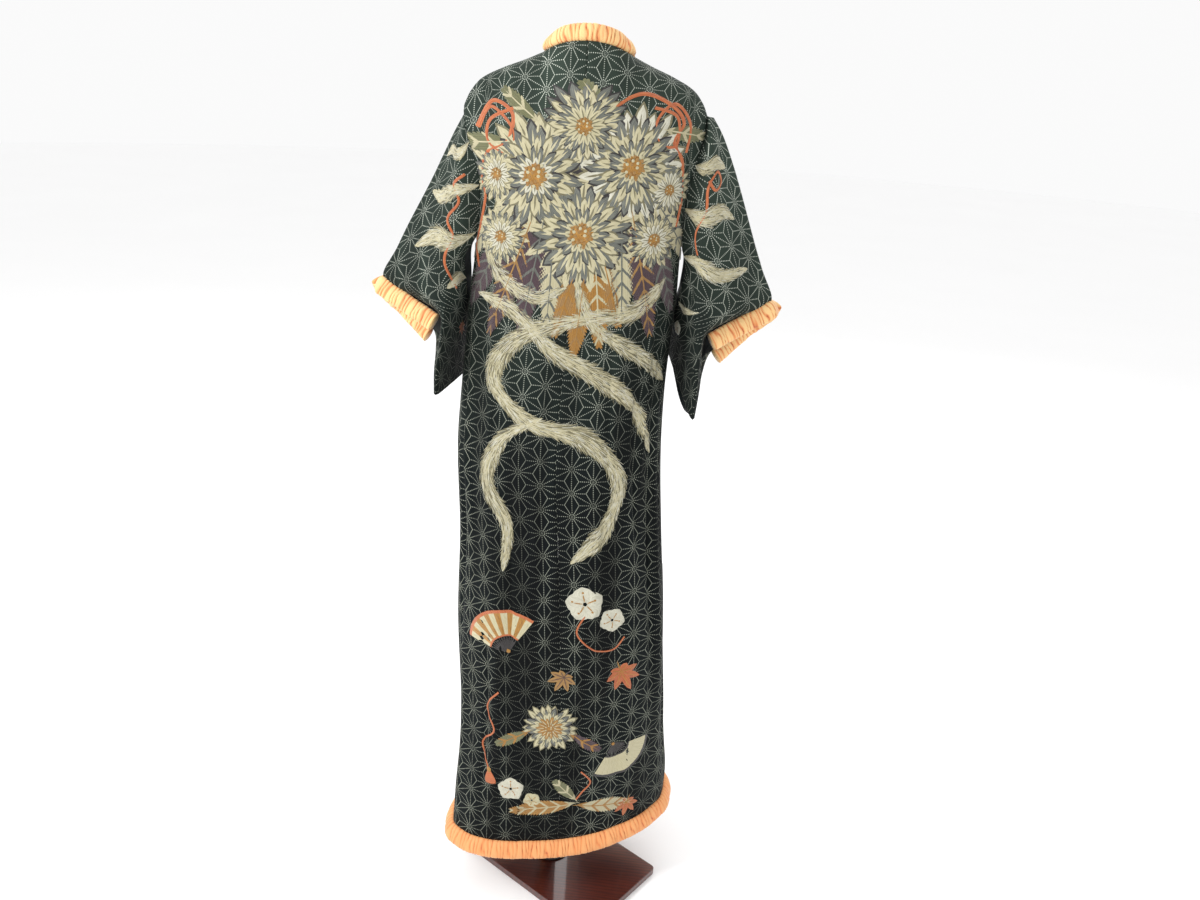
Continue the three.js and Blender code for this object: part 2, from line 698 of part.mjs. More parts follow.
function upright(radius, height, bottom) {
  const geometry = new THREE.CylinderGeometry(radius, radius, height, POLE_SIDES);
  geometry.rotateX(Math.PI / 2);
  geometry.translate(0, 0, bottom + height / 2);
  return geometry;
}

// A flange with a hole for the pole
function flangeGeometry() {
  const inner = POLE_RADIUS + SEAM;
  const profile = [
    [inner, 0],
    [FLANGE_RADIUS, 0],
    [FLANGE_RADIUS, FLANGE_HEIGHT / 2],
    [FLANGE_RADIUS - FLANGE_BEVEL, FLANGE_HEIGHT],
    [inner, FLANGE_HEIGHT],
    [inner, 0],
  ].map(([x, y]) => new THREE.Vector2(x, y));
  const geometry = new THREE.LatheGeometry(profile, POLE_SIDES);
  geometry.rotateX(Math.PI / 2);
  geometry.translate(0, 0, BOARD_THICKNESS + SEAM);
  return geometry;
}

function boardGeometry() {
  const halfLength = BOARD_LENGTH / 2 - BOARD_BEVEL;
  const halfWidth = BOARD_WIDTH / 2 - BOARD_BEVEL;
  const shape = new THREE.Shape();
  const corners = [[1, 1, 0], [-1, 1, 90], [-1, -1, 180], [1, -1, 270]];
  for (const [alongSign, acrossSign, start] of corners) {
    const x = alongSign * (halfLength - BOARD_CORNER);
    const y = acrossSign * (halfWidth - BOARD_CORNER);
    shape.absarc(x, y, BOARD_CORNER, degToRad(start), degToRad(start + 90), false);
  }
  const geometry = new THREE.ExtrudeGeometry(shape, {
    depth: BOARD_THICKNESS - 2 * BOARD_BEVEL,
    bevelThickness: BOARD_BEVEL,
    bevelSize: BOARD_BEVEL,
    bevelSegments: 1,
    curveSegments: 4,
  });
  geometry.translate(0, 0, BOARD_BEVEL);
  geometry.rotateZ(BOARD_TURN);
  return geometry;
}

const finish = (color, roughness, metalness = 0) =>
  new THREE.MeshStandardMaterial({ color, roughness, metalness });
const CLOTH = 0x3f5150;
const TRIM = 0xf2a468;

const kimono = new THREE.Group();
function place(name, geometry, material) {
  const mesh = new THREE.Mesh(geometry, material);
  mesh.name = name;
  kimono.add(mesh);
}

for (const [word, side] of [["right", 1], ["left", -1]]) {
  place(`body_${word}`, bodyGeometry(side), finish(CLOTH, 0.7));
  place(`overlap_${word}`, overlapGeometry(side), finish(CLOTH, 0.7));
  place(`sleeve_${word}`, sleeveGeometry(side), finish(CLOTH, 0.7));
  place(`front_trim_${word}`, frontTrimGeometry(side), finish(TRIM, 0.6));
  place(`cuff_trim_${word}`, cuffTrimGeometry(side), finish(TRIM, 0.6));
}
place("neck_trim", neckTrimGeometry(), finish(TRIM, 0.6));
place("hem_trim", hemTrimGeometry(), finish(TRIM, 0.6));

const formBottom = FORM[0][0];
const poleBottom = BOARD_THICKNESS + SEAM;
place("dress_form", formGeometry(), finish(0xd8cbb4, 0.85));
place("pole", upright(POLE_RADIUS, formBottom - SEAM - poleBottom, poleBottom), finish(0x1c1a1a, 0.35, 0.6));
place("pole_flange", flangeGeometry(), finish(0x1c1a1a, 0.35, 0.6));
place("base_board", boardGeometry(), finish(0x5c2a1d, 0.25));

export default kimono;
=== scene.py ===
"""A floor-length kimono on a limbless dress form, with its embroidery, gathered trims and stand."""
import math

import bmesh
import bpy
import numpy as np
from mathutils import Matrix, Vector


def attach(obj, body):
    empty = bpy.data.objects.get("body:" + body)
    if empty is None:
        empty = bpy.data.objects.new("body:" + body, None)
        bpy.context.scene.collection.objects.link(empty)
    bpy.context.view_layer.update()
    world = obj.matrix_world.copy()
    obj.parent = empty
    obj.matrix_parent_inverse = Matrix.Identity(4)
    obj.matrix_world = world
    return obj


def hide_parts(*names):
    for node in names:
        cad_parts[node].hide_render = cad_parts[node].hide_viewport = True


bl_info = {
    "name": "Kimono on a dress form",
    "version": (1, 0, 0),
    "blender": (4, 5, 0),
    "location": "View3D > Sidebar > Kimono",
    "description": "Builds an embroidered kimono with gathered trims on its stand",
    "category": "Add Mesh",
}

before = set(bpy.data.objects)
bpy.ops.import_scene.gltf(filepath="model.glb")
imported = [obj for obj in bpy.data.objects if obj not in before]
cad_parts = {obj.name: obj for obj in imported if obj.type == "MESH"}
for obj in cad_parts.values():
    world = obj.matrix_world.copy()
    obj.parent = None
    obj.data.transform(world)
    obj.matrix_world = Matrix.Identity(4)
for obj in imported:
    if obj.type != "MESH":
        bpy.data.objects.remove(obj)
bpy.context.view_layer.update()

MM = 0.001
SIDES = (("right", 1), ("left", -1))

# Cloth in millimetres, as in the part's source
SEAM = 0.3
HEM_HEIGHT = 140
HEM_LIFT_RIGHT = 30
HEM_LIFT_LEFT = 0
ROUNDNESS = 2.4
SHOULDER_ROUND = 120
NECK_HALF_WIDTH = 68
NECK_BACK_DEPTH = 58
NECK_BACK_HEIGHT = 1568
NECK_SIDE_HEIGHT = 1549
RIDGE_COLUMNS = ("across", "height")
RIDGE = (
    (68, 1549),
    (96, 1536.5),
    (130, 1523),
    (162, 1506),
    (178, 1487),
    (186, 1470),
)
SECTION_COLUMNS = ("height", "halfWidth", "backDepth", "frontDepth", "centreX", "skew", "sideGap")
SECTIONS = (
    (60, 213, 110, 112, 12, 0.22, 0),
    (120, 210, 111, 113, 16, 0.21, 0),
    (220, 203, 112, 114, 16, 0.17, 0),
    (320, 193, 112, 113, 14, 0.13, 0),
    (430, 188, 112, 112, 11, 0.09, 0),
    (600, 186, 112, 112, 2, 0.05, 0),
    (760, 179, 111, 111, -7, 0.03, 0),
    (910, 176, 108, 108, -17, 0, 0),
    (1030, 171, 101, 104, -15, 0, 0),
    (1130, 169, 98, 104, -9, 0, 0),
    (1180, 170, 98, 106, -6, 0, 9),
    (1250, 171, 99, 107, -3, 0, 17),
    (1350, 172, 99, 104, 0, 0, 20),
    (1430, 174, 96, 98, 1, 0, 20),
    (1500, 177, 90, 90, 2, 0, 18),
    (1600, 177, 88, 88, 2, 0, 18),
)
LEFT_GAP_SCALE = 1.45

# Hanging folds: angle from the centre back, outward depth, spread, bottom, top, and lean up the fold
FOLDS = (
    (-74, 7, 8, 100, 900, 0),
    (-52, -6, 9, 620, 1330, 0),
    (-33, 4, 8, 160, 760, 0),
    (-14, -3, 8, 90, 620, 0),
    (12, 3, 9, 240, 1080, 0),
    (29, -4, 7, 110, 700, 0),
    (55, -6, 8, 560, 1320, 0),
    (68, 7, 7, 120, 1080, 0),
    (104, -6, 8, 90, 860, 0),
    (124, 7, 8, 150, 1120, 0),
    (143, -6, 8, 90, 980, 0),
    (160, 4, 7, 420, 1200, 0),
    (-101, -5, 8, 200, 980, 0),
    (-121, 7, 8, 90, 1160, 0),
    (-141, -6, 8, 90, 820, 0),
    (-159, 5, 7, 300, 1200, 0),
)

# Soft creases over the main folds, uneven in length, depth and spacing
CREASE_GAIN = 3.1
CREASES = (
    (-68, -2.6, 3.2, 520, 1120, 9),
    (-61, 1.8, 2.6, 760, 1290, -7),
    (-43, -1.6, 2.2, 240, 690, 5),
    (-38, 1.4, 2.0, 860, 1250, -8),
    (-24, -1.8, 2.4, 380, 1010, 6),
    (-19, 1.2, 1.8, 130, 470, -3),
    (-8, 1.0, 1.6, 640, 1180, 5),
    (6, -1.6, 2.0, 150, 560, -4),
    (17, 1.3, 1.9, 520, 980, 6),
    (22, -1.5, 1.8, 900, 1330, -6),
    (36, 1.6, 2.3, 220, 640, 5),
    (43, -2.2, 2.4, 700, 1240, -9),
    (50, 2.4, 2.2, 860, 1300, -5),
    (61, -3.0, 2.4, 420, 1190, 7),
    (74, -2.2, 2.6, 600, 1150, 4),
    (82, 2.0, 2.8, 180, 560, -5),
    (-82, 1.8, 2.6, 300, 760, 4),
    (-90, -1.6, 2.4, 640, 1060, -6),
    (95, -1.8, 2.4, 420, 1010, 5),
    (112, 2.0, 2.6, 260, 800, -6),
    (118, -1.6, 2.0, 700, 1290, 4),
    (133, 1.8, 2.2, 360, 1060, 7),
    (150, -1.8, 2.2, 620, 1330, -4),
    (-110, 1.9, 2.4, 320, 930, -5),
    (-128, -1.9, 2.2, 440, 1240, 6),
    (-150, 1.7, 2.2, 200, 700, -4),
    (-147, -1.5, 2.0, 800, 1330, 5),
)

FRONT_EDGE_COLUMNS = ("height", "across")
FRONT_EDGE = (
    (60, 42),
    (400, 44),
    (900, 46),
    (1150, 48),
    (1300, 52),
    (1450, 60),
    (1600, 70),
)
OVERLAP_TOP = 1210
OVERLAP_HEM_WIDTH = 104
OVERLAP_TOP_WIDTH = 3

SLEEVE_COLUMNS = (
    "height", "innerX", "innerY", "foldX", "foldY", "backRimX", "backRimY", "crestX",
    "frontRimX", "frontRimY", "farX", "farY", "frontInnerX", "frontInnerY", "rise",
)
SLEEVE = (
    (1461, 182, -16, 186, -18, 190, -9, 194, 190, 9, 186, 18, 182, 16, 0),
    (1435, 176, -34, 189, -38, 205, -12, 211, 205, 12, 191, 36, 176, 34, 0),
    (1396, 172, -42, 191, -52, 222, -13, 230, 222, 13, 200, 44, 172, 42, 0),
    (1350, 172, -44, 195, -64, 241, -14, 250, 241, 14, 214, 50, 172, 44, 0),
    (1283, 172, -44, 200, -74, 269, -14, 279, 269, 14, 235, 58, 172, 46, 0),
    (1243, 175, -40, 203, -79, 287, -14, 297, 287, 14, 250, 63, 177, 56, 0),
    (1193, 172, -28, 205, -82, 314, -13, 319, 315, 14, 262, 68, 178, 72, 4),
    (1170, 172.5, -12, 206, -84, 266, -34, 296, 310, 28, 256, 76, 178, 88, 8),
    (1148, 172.5, 6, 207, -86, 219, -60, 262, 288, 32, 248, 80, 178, 100, 14),
    (1106, 173.5, 22, 209, -87, 215, -70, 222, 238, 0, 234, 78, 178, 106, 22),
    (1082, 174.5, 36, 211, -87, 216, -72, 220, 222, -50, 226, 68, 178, 104, 32),
    (1052, 175, 44, 213, -87, 217, -77, 219, 219, -70, 216, 46, 179, 88, 40),
    (1014, 176, 46, 213, -84, 216, -80, 217, 216, -77, 200, -12, 180, 49, 50),
)
CUFF_TOP_ROW = 6
CUFF_END_ROW = 9
SLEEVE_TOP_SHIFT = 8
SLEEVE_TIP_SHIFT = -8
SLEEVE_SPREAD = {1: 1.03, -1: 0.94}
SLEEVE_SPREAD_FROM = 180
SLEEVE_FOLD_SHIFT = {1: 2, -1: -8}
SLEEVE_FOLD_EASE = 20
SLEEVE_FOLD_RANGE = (230, 290)
SLEEVE_RISE = {1: 1.5, -1: 0}
CUFF_HANG = (0.42, 0.22, -0.88)
SLEEVE_SEAM_ROWS = 5
SLEEVE_STEPS = 5
HEIGHT_STEPS = 18
ROUND_STEPS = 4
NECK_SHARE = 4 / 14

TRIM_WIDTH = {"hem": 38, "cuff": 32, "front": 27, "neck": 27}
TRIM_THICKNESS = 16
TRIM_PROBE = 4
HEM_FLARE = 0.4
HEM_CLEARANCE = 0.9
FRONT_CLEARANCE = 0.9
FRONT_END = 1.8
CUFF_CLEARANCE = {1: 1.3, -1: 2.4}
NECK_TRIM_SHARE = 0.98
NECK_TRIM_LIFT = 3
NECK_TRIM_LEAN = (0.9, 0.25)

# The form's sections: height, half width and half depth
FORM = (
    (780, 148, 84),
    (800, 154, 90),
    (880, 156, 92),
    (960, 146, 86),
    (1060, 124, 76),
    (1180, 136, 80),
    (1290, 146, 82),
    (1390, 154, 76),
    (1450, 162, 62),
    (1484, 165, 48),
    (1503.6, 160, 40),
    (1520.4, 129, 33),
    (1529, 106, 28),
    (1534, 72, 29),
    (1540, 50, 36),
    (1548, 44, 41),
    (1562, 43, 43),
    (1576, 43, 43),
)
BOARD_THICKNESS = 14
BOARD_LENGTH = 385
BOARD_WIDTH = 214
BOARD_CORNER = 9
BOARD_EDGE = 1.6
BOARD_TURN = 141

# Turned parts' profiles: radius and height
POLE = (
    (0.0, 14.3),
    (10.4, 14.3),
    (11.0, 14.9),
    (11.0, 779.1),
    (10.4, 779.7),
    (0.0, 779.7),
)
FLANGE = (
    (11.3, 14.3),
    (38.0, 14.3),
    (38.0, 17.6),
    (37.2, 18.6),
    (34.6, 20.9),
    (33.4, 21.3),
    (11.3, 21.3),
    (11.3, 14.3),
)

# How far the centre back seam cuts into the pattern's first column, and how fine the cloth is drawn
SEAM_SHIFT = 11
RING_SAMPLES = 30
BODY_ROWS = 240
BACK_COLUMNS = 112
FRONT_COLUMNS = 80
NECK_COLUMNS = BACK_COLUMNS - FRONT_COLUMNS
WEDGE_COLUMNS = 48
WEDGE_ROWS = 260
WEDGE_STEPS = 15
SHOULDER_ROWS = 9
SLEEVE_FINE_ROWS = 10
SLEEVE_FINE_COLUMNS = 6
SLEEVE_CAP_ROWS = 4
RIM_START = SLEEVE_STEPS * SLEEVE_FINE_COLUMNS
RIM_END = RIM_START + 2 * SLEEVE_FINE_COLUMNS

# A sleeve's soft creases by shares: place across, sideways lean, depth in millimetres, spread, top and bottom
SLEEVE_CREASES = (
    (0.10, 0.05, 1.8, 0.018, 0.15, 0.8),
    (0.17, 0.06, -2.2, 0.022, 0.2, 0.95),
    (0.25, 0.08, 1.8, 0.024, 0.1, 0.7),
    (0.33, 0.07, -1.8, 0.022, 0.25, 0.6),
    (0.40, 0.03, 1.6, 0.020, 0.1, 0.45),
    (0.60, -0.03, -1.6, 0.020, 0.1, 0.45),
    (0.67, -0.08, 1.8, 0.022, 0.2, 0.62),
    (0.75, -0.06, -2.0, 0.022, 0.15, 0.9),
    (0.84, -0.05, 1.8, 0.020, 0.2, 0.8),
    (0.91, -0.04, -1.6, 0.018, 0.3, 0.95),
)

# The gathered bands' mesh
BAND_SIDES = 18
BAND_STEP = 1.25
HEM_SAMPLES = 65
FRONT_SAMPLES = 121
NECK_SAMPLES = 25

# How their pleats wander: wave length in gathers, and weight
WANDER = (
    (3.1, 0.30),
    (7.3, 0.16),
    (13.0, 0.10),
    (29.0, 0.07),
)

# The embroidery lies this far over the cloth's middle
STITCH_LIFT = 0.7
GOLDEN_ANGLE = 137.5
HEART_KNOTS = 26

# Thread colours from 0 to 255 in light and in shade, roughness and metal
THREAD_TONES = {
    "cream": ((212, 204, 168), (186, 177, 138), 0.4, 0.0),
    "silver": ((122, 124, 112), (76, 80, 76), 0.4, 0.0),
    "gold": ((196, 144, 58), (144, 96, 32), 0.36, 0.25),
    "plum": ((84, 54, 62), (52, 34, 42), 0.4, 0.0),
    "ochre": ((186, 142, 72), (130, 92, 44), 0.4, 0.0),
    "orange": ((208, 118, 58), (168, 76, 32), 0.4, 0.0),
    "white": ((226, 224, 206), (196, 192, 170), 0.4, 0.0),
    "dark": ((40, 32, 30), (24, 20, 20), 0.4, 0.0),
    "moss": ((132, 132, 88), (92, 94, 60), 0.4, 0.0),
    "shadow": ((142, 134, 98), (100, 96, 70), 0.45, 0.0),
}
THREADS = tuple(THREAD_TONES)

# The photograph's viewpoint, in degrees, metres and millimetres of lens
CAMERA_SPOT = (0.0535, -1.62, 1.56)
CAMERA_PITCH = 21.9
CAMERA_ROLL = 3.4
CAMERA_LENS = 30.0
CAMERA_SENSOR = 36.0
WORLD_LIGHT = 0.96
FLOOR_RADIUS = 14.0
LIGHTS_AIM = (0, 0, 0.95)

# Area lights: name, place, power in watts and size in metres
LIGHTS = (
    ("key", (-2.5, -1.3, 2.6), 74, 0.7),
    ("fill", (2.3, -1.6, 2.2), 8, 2.0),
    ("back", (0.4, 2.6, 2.8), 40, 2.4),
)


# Cloth shape
def rows_at(columns, rows, value):
    """A table's columns at many values of its first column, by a cubic through the rows."""
    table = np.array(rows, float)
    keys = table[:, 0]
    value = np.clip(value, keys[0], keys[-1])
    k = np.clip(np.searchsorted(keys, value, side="left") - 1, 0, len(keys) - 2)
    before = np.maximum(k - 1, 0)
    after = np.minimum(k + 2, len(keys) - 1)
    span = keys[k + 1] - keys[k]
    t = (value - keys[k]) / span
    row = {}
    for c, name in enumerate(columns):
        column = table[:, c]
        p = column[k]
        q = column[k + 1]
        m = (q - column[before]) / (keys[k + 1] - keys[before]) * span
        n = (column[after] - p) / (keys[after] - keys[k]) * span
        row[name] = p + t * (m + t * (3 * (q - p) - 2 * m - n + t * (2 * (p - q) + m + n)))
    return row


def signed_power(v, power):
    return np.sign(v) * np.abs(v) ** power


def smooth_step(v, low, high):
    t = np.clip((v - low) / (high - low), 0, 1)
    return t * t * (3 - 2 * t)


def mix(a, b, t):
    return a + (b - a) * t


def unit(vectors):
    length = np.linalg.norm(vectors, axis=-1, keepdims=True)
    return vectors / np.maximum(length, 1e-9)


def fold_out(angle, height):
    """How far the hanging folds and creases push the cloth out."""
    out = np.zeros(np.broadcast(angle, height).shape)
    deeper = tuple((row[0], row[1] * CREASE_GAIN, *row[2:]) for row in CREASES)
    for centre, depth, spread, bottom, top, lean in FOLDS + deeper:
        rise = np.clip((height - bottom) / (top - bottom), 0, 1)
        across = (angle - centre - lean * (rise - 0.5)) / spread
        out = out + depth * np.exp(-across * across) * np.sin(np.pi * rise**0.7)
    return out


def ring_point(angle, height):
    """A point of the body's section, angle in degrees from the centre back."""
    s = rows_at(SECTION_COLUMNS, SECTIONS, height)
    turn = np.radians(angle)
    across = signed_power(np.sin(turn), 2 / ROUNDNESS)
    along = signed_power(np.cos(turn), 2 / ROUNDNESS)
    out = fold_out(angle, height)
    x = (s["halfWidth"] + out) * across
    y = -(np.where(along > 0, s["backDepth"], s["frontDepth"]) + out) * along
    shape = np.broadcast(x, height).shape
    return np.stack([s["centreX"] + x, y + s["skew"] * x, np.broadcast_to(height, shape)], -1)


def front_angle(across, height):
    half_width = rows_at(SECTION_COLUMNS, SECTIONS, height)["halfWidth"]
    return 180 - np.degrees(np.arcsin((across / half_width) ** (ROUNDNESS / 2)))


def front_edge_across(height):
    return rows_at(FRONT_EDGE_COLUMNS, FRONT_EDGE, height)["across"]


def overlap_width(height):
    rise = np.clip((height - HEM_HEIGHT) / (OVERLAP_TOP - HEM_HEIGHT), 0, 1)
    fade = 1 - smooth_step(height, OVERLAP_TOP, OVERLAP_TOP + 40)
    return mix(OVERLAP_HEM_WIDTH, OVERLAP_TOP_WIDTH, rise) * fade


def side_gap(side, height):
    gap = rows_at(SECTION_COLUMNS, SECTIONS, height)["sideGap"]
    return gap if side > 0 else gap * LEFT_GAP_SCALE


def panel_angles(panel, side, height):
    edge = front_edge_across(height)
    if panel == "back":
        return np.zeros_like(height), 90 - side_gap(side, height)
    if panel == "front":
        return front_angle(edge + overlap_width(height), height), 90 + side_gap(side, height)
    return front_angle(edge, height), front_angle(edge + overlap_width(height), height)


def panel_point(panel, side, share, height):
    """Points of a panel at shares of its width, for arrays of one shape."""
    share, height = np.broadcast_arrays(np.asarray(share, float), np.asarray(height, float))
    start, end = panel_angles(panel, side, height)
    steps = np.linspace(0, 1, RING_SAMPLES + 1)
    angles = side * (start[..., None] + (end - start)[..., None] * steps)
    line = ring_point(angles, height[..., None] + 0 * steps)
    spans = np.linalg.norm(np.diff(line, axis=-2), axis=-1)
    lengths = np.concatenate([np.zeros(share.shape + (1,)), np.cumsum(spans, -1)], -1)
    goal = SEAM / 2 + share * (lengths[..., -1] - SEAM)
    k = np.clip((lengths < goal[..., None]).sum(-1) - 1, 0, RING_SAMPLES - 1)
    low = np.take_along_axis(lengths, k[..., None], -1)[..., 0]
    high = np.take_along_axis(lengths, k[..., None] + 1, -1)[..., 0]
    t = ((goal - low) / np.maximum(high - low, 1e-9))[..., None]
    a = np.take_along_axis(line, k[..., None, None] + np.zeros((1, 3), int), -2)[..., 0, :]
    b = np.take_along_axis(line, k[..., None, None] + 1 + np.zeros((1, 3), int), -2)[..., 0, :]
    return a + (b - a) * t


def section_centre(height):
    return rows_at(SECTION_COLUMNS, SECTIONS, height)["centreX"]


def top_point(share, side):
    """The top of a column: the back neckline up to the neck's side, then the shoulder's ridge."""
    share = np.asarray(share, float)
    turn = np.pi / 2 * np.clip(share / NECK_SHARE, 0, 1)
    neck_height = mix(NECK_SIDE_HEIGHT, NECK_BACK_HEIGHT, np.cos(turn) ** 2)
    neck_across = np.maximum(NECK_HALF_WIDTH * np.sin(turn), SEAM / 2)
    ridge_share = np.clip((share - NECK_SHARE) / (1 - NECK_SHARE), 0, 1)
    ridge_across = mix(RIDGE[0][0], RIDGE[-1][0], ridge_share)
    ridge_height = rows_at(RIDGE_COLUMNS, RIDGE, ridge_across)["height"]
    on_neck = share < NECK_SHARE
    height = np.where(on_neck, neck_height, ridge_height)
    across = np.where(on_neck, neck_across, ridge_across)
    depth = np.where(on_neck, -NECK_BACK_DEPTH * np.cos(turn), 0)
    return np.stack([section_centre(height) + side * across, depth, height], -1)


def body_point(panel, side, share, height):
    """A body panel's points, rounded over the shoulder to the top of each column."""
    share, height = np.broadcast_arrays(np.asarray(share, float), np.asarray(height, float))
    top = top_point(share if panel == "back" else mix(NECK_SHARE, 1, share), side)
    drop = np.clip((top[..., 2] - height) / SHOULDER_ROUND, 0, 1)
    level = panel_point(panel, side, share, np.minimum(height, top[..., 2]))
    neckness = np.clip(1 - share / NECK_SHARE, 0, 1) if panel == "back" else 0
    rounding = np.sqrt(1 - (1 - drop) ** 2) ** (1 + 1.1 * neckness)
    level[..., 0] = mix(top[..., 0], level[..., 0], smooth_step(drop, 0, 1))
    level[..., 1] = mix(top[..., 1], level[..., 1], rounding)
    return level


def hem_height(panel, side, share):
    level = panel_point(panel, side, share, HEM_HEIGHT)
    lift = np.where(level[..., 0] > 0, HEM_LIFT_RIGHT, HEM_LIFT_LEFT)
    return HEM_HEIGHT + lift * (level[..., 0] / SECTIONS[0][1]) ** 2


def step_height(step, hem, top):
    low = mix(hem, top - SHOULDER_ROUND, np.minimum(step / HEIGHT_STEPS, 1))
    turn = np.pi / 2 * (1 - np.maximum(step - HEIGHT_STEPS, 0) / ROUND_STEPS)
    return np.where(step <= HEIGHT_STEPS, low, top - SHOULDER_ROUND * (1 - np.cos(turn)))


def panel_grid(panel, side, columns, rows):
    """A body panel's fine grid of points, rows from the hem up."""
    share = np.linspace(0, 1, columns + 1)[None, :]
    step = np.linspace(0, HEIGHT_STEPS + ROUND_STEPS, rows + 1)[:, None]
    top = top_point(share if panel == "back" else mix(NECK_SHARE, 1, share), side)[..., 2]
    height = step_height(step, hem_height(panel, side, share), top)
    return body_point(panel, side, share + 0 * height, height)


def overlap_grid(side, columns, rows):
    share = np.linspace(0, 1, columns + 1)[None, :]
    step = np.linspace(0, WEDGE_STEPS, rows + 1)[:, None]
    height = step_height(step, hem_height("overlap", side, share), NECK_SIDE_HEIGHT)
    return panel_point("overlap", side, share + 0 * height, height)


def catmull(points, steps):
    """A finer line through a line of points, along the first axis."""
    count = len(points)
    s = np.linspace(0, count - 1, (count - 1) * steps + 1)
    k = np.clip(s.astype(int), 0, count - 2)
    t = (s - k).reshape((-1,) + (1,) * (points.ndim - 1))
    a = points[np.maximum(k - 1, 0)]
    b = points[k]
    c = points[k + 1]
    d = points[np.minimum(k + 2, count - 1)]
    bend = 2 * b + (c - a) * t + (2 * a - 5 * b + 4 * c - d) * t**2 + (3 * b - a - 3 * c + d) * t**3
    return bend / 2


def centripetal(a, b, c, steps):
    """A curve through three points, as the part's source draws a sleeve's layers."""
    a, b, c = (np.array(p, float) for p in (a, b, c))
    before = 2 * a - b
    after = 2 * c - b
    points = [before, a, b, c, after]
    shares = np.linspace(0, 1, steps + 1) * 2
    line = []
    for s in shares:
        k = min(int(s), 1)
        t = s - k
        p0, p1, p2, p3 = points[k : k + 4]
        d0, d1, d2 = (max(np.linalg.norm(v), 1e-6) ** 0.5 for v in (p1 - p0, p2 - p1, p3 - p2))
        m1 = ((p1 - p0) / d0 - (p2 - p0) / (d0 + d1) + (p2 - p1) / d1) * d1
        m2 = ((p2 - p1) / d1 - (p3 - p1) / (d1 + d2) + (p3 - p2) / d2) * d1
        line.append(p1 + m1 * t + (3 * (p2 - p1) - 2 * m1 - m2) * t**2 + (2 * (p1 - p2) + m1 + m2) * t**3)
    return np.array(line)


def armhole_point(panel, side, step):
    height = step_height(step, hem_height(panel, side, 1.0), top_point(1.0, side)[2])
    edge = body_point(panel, side, 1.0, height)
    inside = body_point(panel, side, 0.96, height)
    return edge + unit(edge - inside) * SEAM


def sleeve_lines(side):
    """The sleeve's rows: its back layer from the inner edge to the rim, the crest, and its front layer."""
    top = SLEEVE[0][0]
    tip = SLEEVE[-1][0]
    rows = []
    for number, values in enumerate(SLEEVE):
        s = dict(zip(SLEEVE_COLUMNS, values))
        shift = mix(SLEEVE_TOP_SHIFT, SLEEVE_TIP_SHIFT, (top - s["height"]) / (top - tip))
        height = s["height"] + side * shift
        centre = float(section_centre(height))

        def at(x, y, rise=0):
            beyond = max(x - SLEEVE_SPREAD_FROM, 0)
            near_fold = min(beyond / SLEEVE_FOLD_EASE, 1) * (1 - smooth_step(x, *SLEEVE_FOLD_RANGE))
            across = x + beyond * (SLEEVE_SPREAD[side] - 1) + SLEEVE_FOLD_SHIFT[side] * near_fold
            return np.array([centre + side * across, y, height + rise * SLEEVE_RISE[side]])

        inner = at(s["innerX"], s["innerY"], s["rise"])
        front_inner = at(s["frontInnerX"], s["frontInnerY"], s["rise"])
        if number < SLEEVE_SEAM_ROWS:
            step = HEIGHT_STEPS + ROUND_STEPS - 1 - number
            inner = armhole_point("back", side, step)
            front_inner = armhole_point("front", side, step)
        back_rim = at(s["backRimX"], s["backRimY"])
        front_rim = at(s["frontRimX"], s["frontRimY"])
        crest = at(s["crestX"], (s["backRimY"] + s["frontRimY"]) / 2)
        back = centripetal(inner, at(s["foldX"], s["foldY"]), back_rim, SLEEVE_STEPS)
        front = centripetal(front_rim, at(s["farX"], s["farY"]), front_inner, SLEEVE_STEPS)
        rows.append(np.concatenate([back, crest[None], front]))
    return np.array(rows)


# Meshes
def arc_length(points, axis):
    """Distance along one axis of a grid of points, from its start."""
    spans = np.linalg.norm(np.diff(points, axis=axis), axis=-1)
    start = np.zeros_like(np.take(spans, [0], axis=axis))
    return np.concatenate([start, np.cumsum(spans, axis=axis)], axis=axis)


def add_grid(bm, points, uv, flip=False, keep=None, fold=None):
    """A grid from bmesh's own operator, shaped to points in millimetres, with a UV in metres."""
    folds = bm.verts.layers.float.new("fold") if fold is not None else None
    rows, columns = points.shape[0] - 1, points.shape[1] - 1
    made = bmesh.ops.create_grid(bm, x_segments=columns, y_segments=rows, size=1)
    layer = bm.loops.layers.uv.verify()
    place = {}
    for vert in made["verts"]:
        i = round((vert.co.y + 1) / 2 * rows)
        j = round((vert.co.x + 1) / 2 * columns)
        place[vert] = (i, j)
        vert.co = points[i, j] * MM
        if folds:
            vert[folds] = fold[i, j]
    faces = {face for vert in made["verts"] for face in vert.link_faces}
    dropped = []
    for face in faces:
        face.smooth = True
        spots = [place[loop.vert] for loop in face.loops]
        for loop, (i, j) in zip(face.loops, spots):
            loop[layer].uv = uv[i, j]
        if keep is not None and not keep(min(i for i, _ in spots), min(j for _, j in spots)):
            dropped.append(face)
    if dropped:
        kept = faces.difference(dropped)
        bmesh.ops.delete(bm, geom=dropped, context="FACES")
        faces = kept
    if flip:
        bmesh.ops.reverse_faces(bm, faces=list(faces))


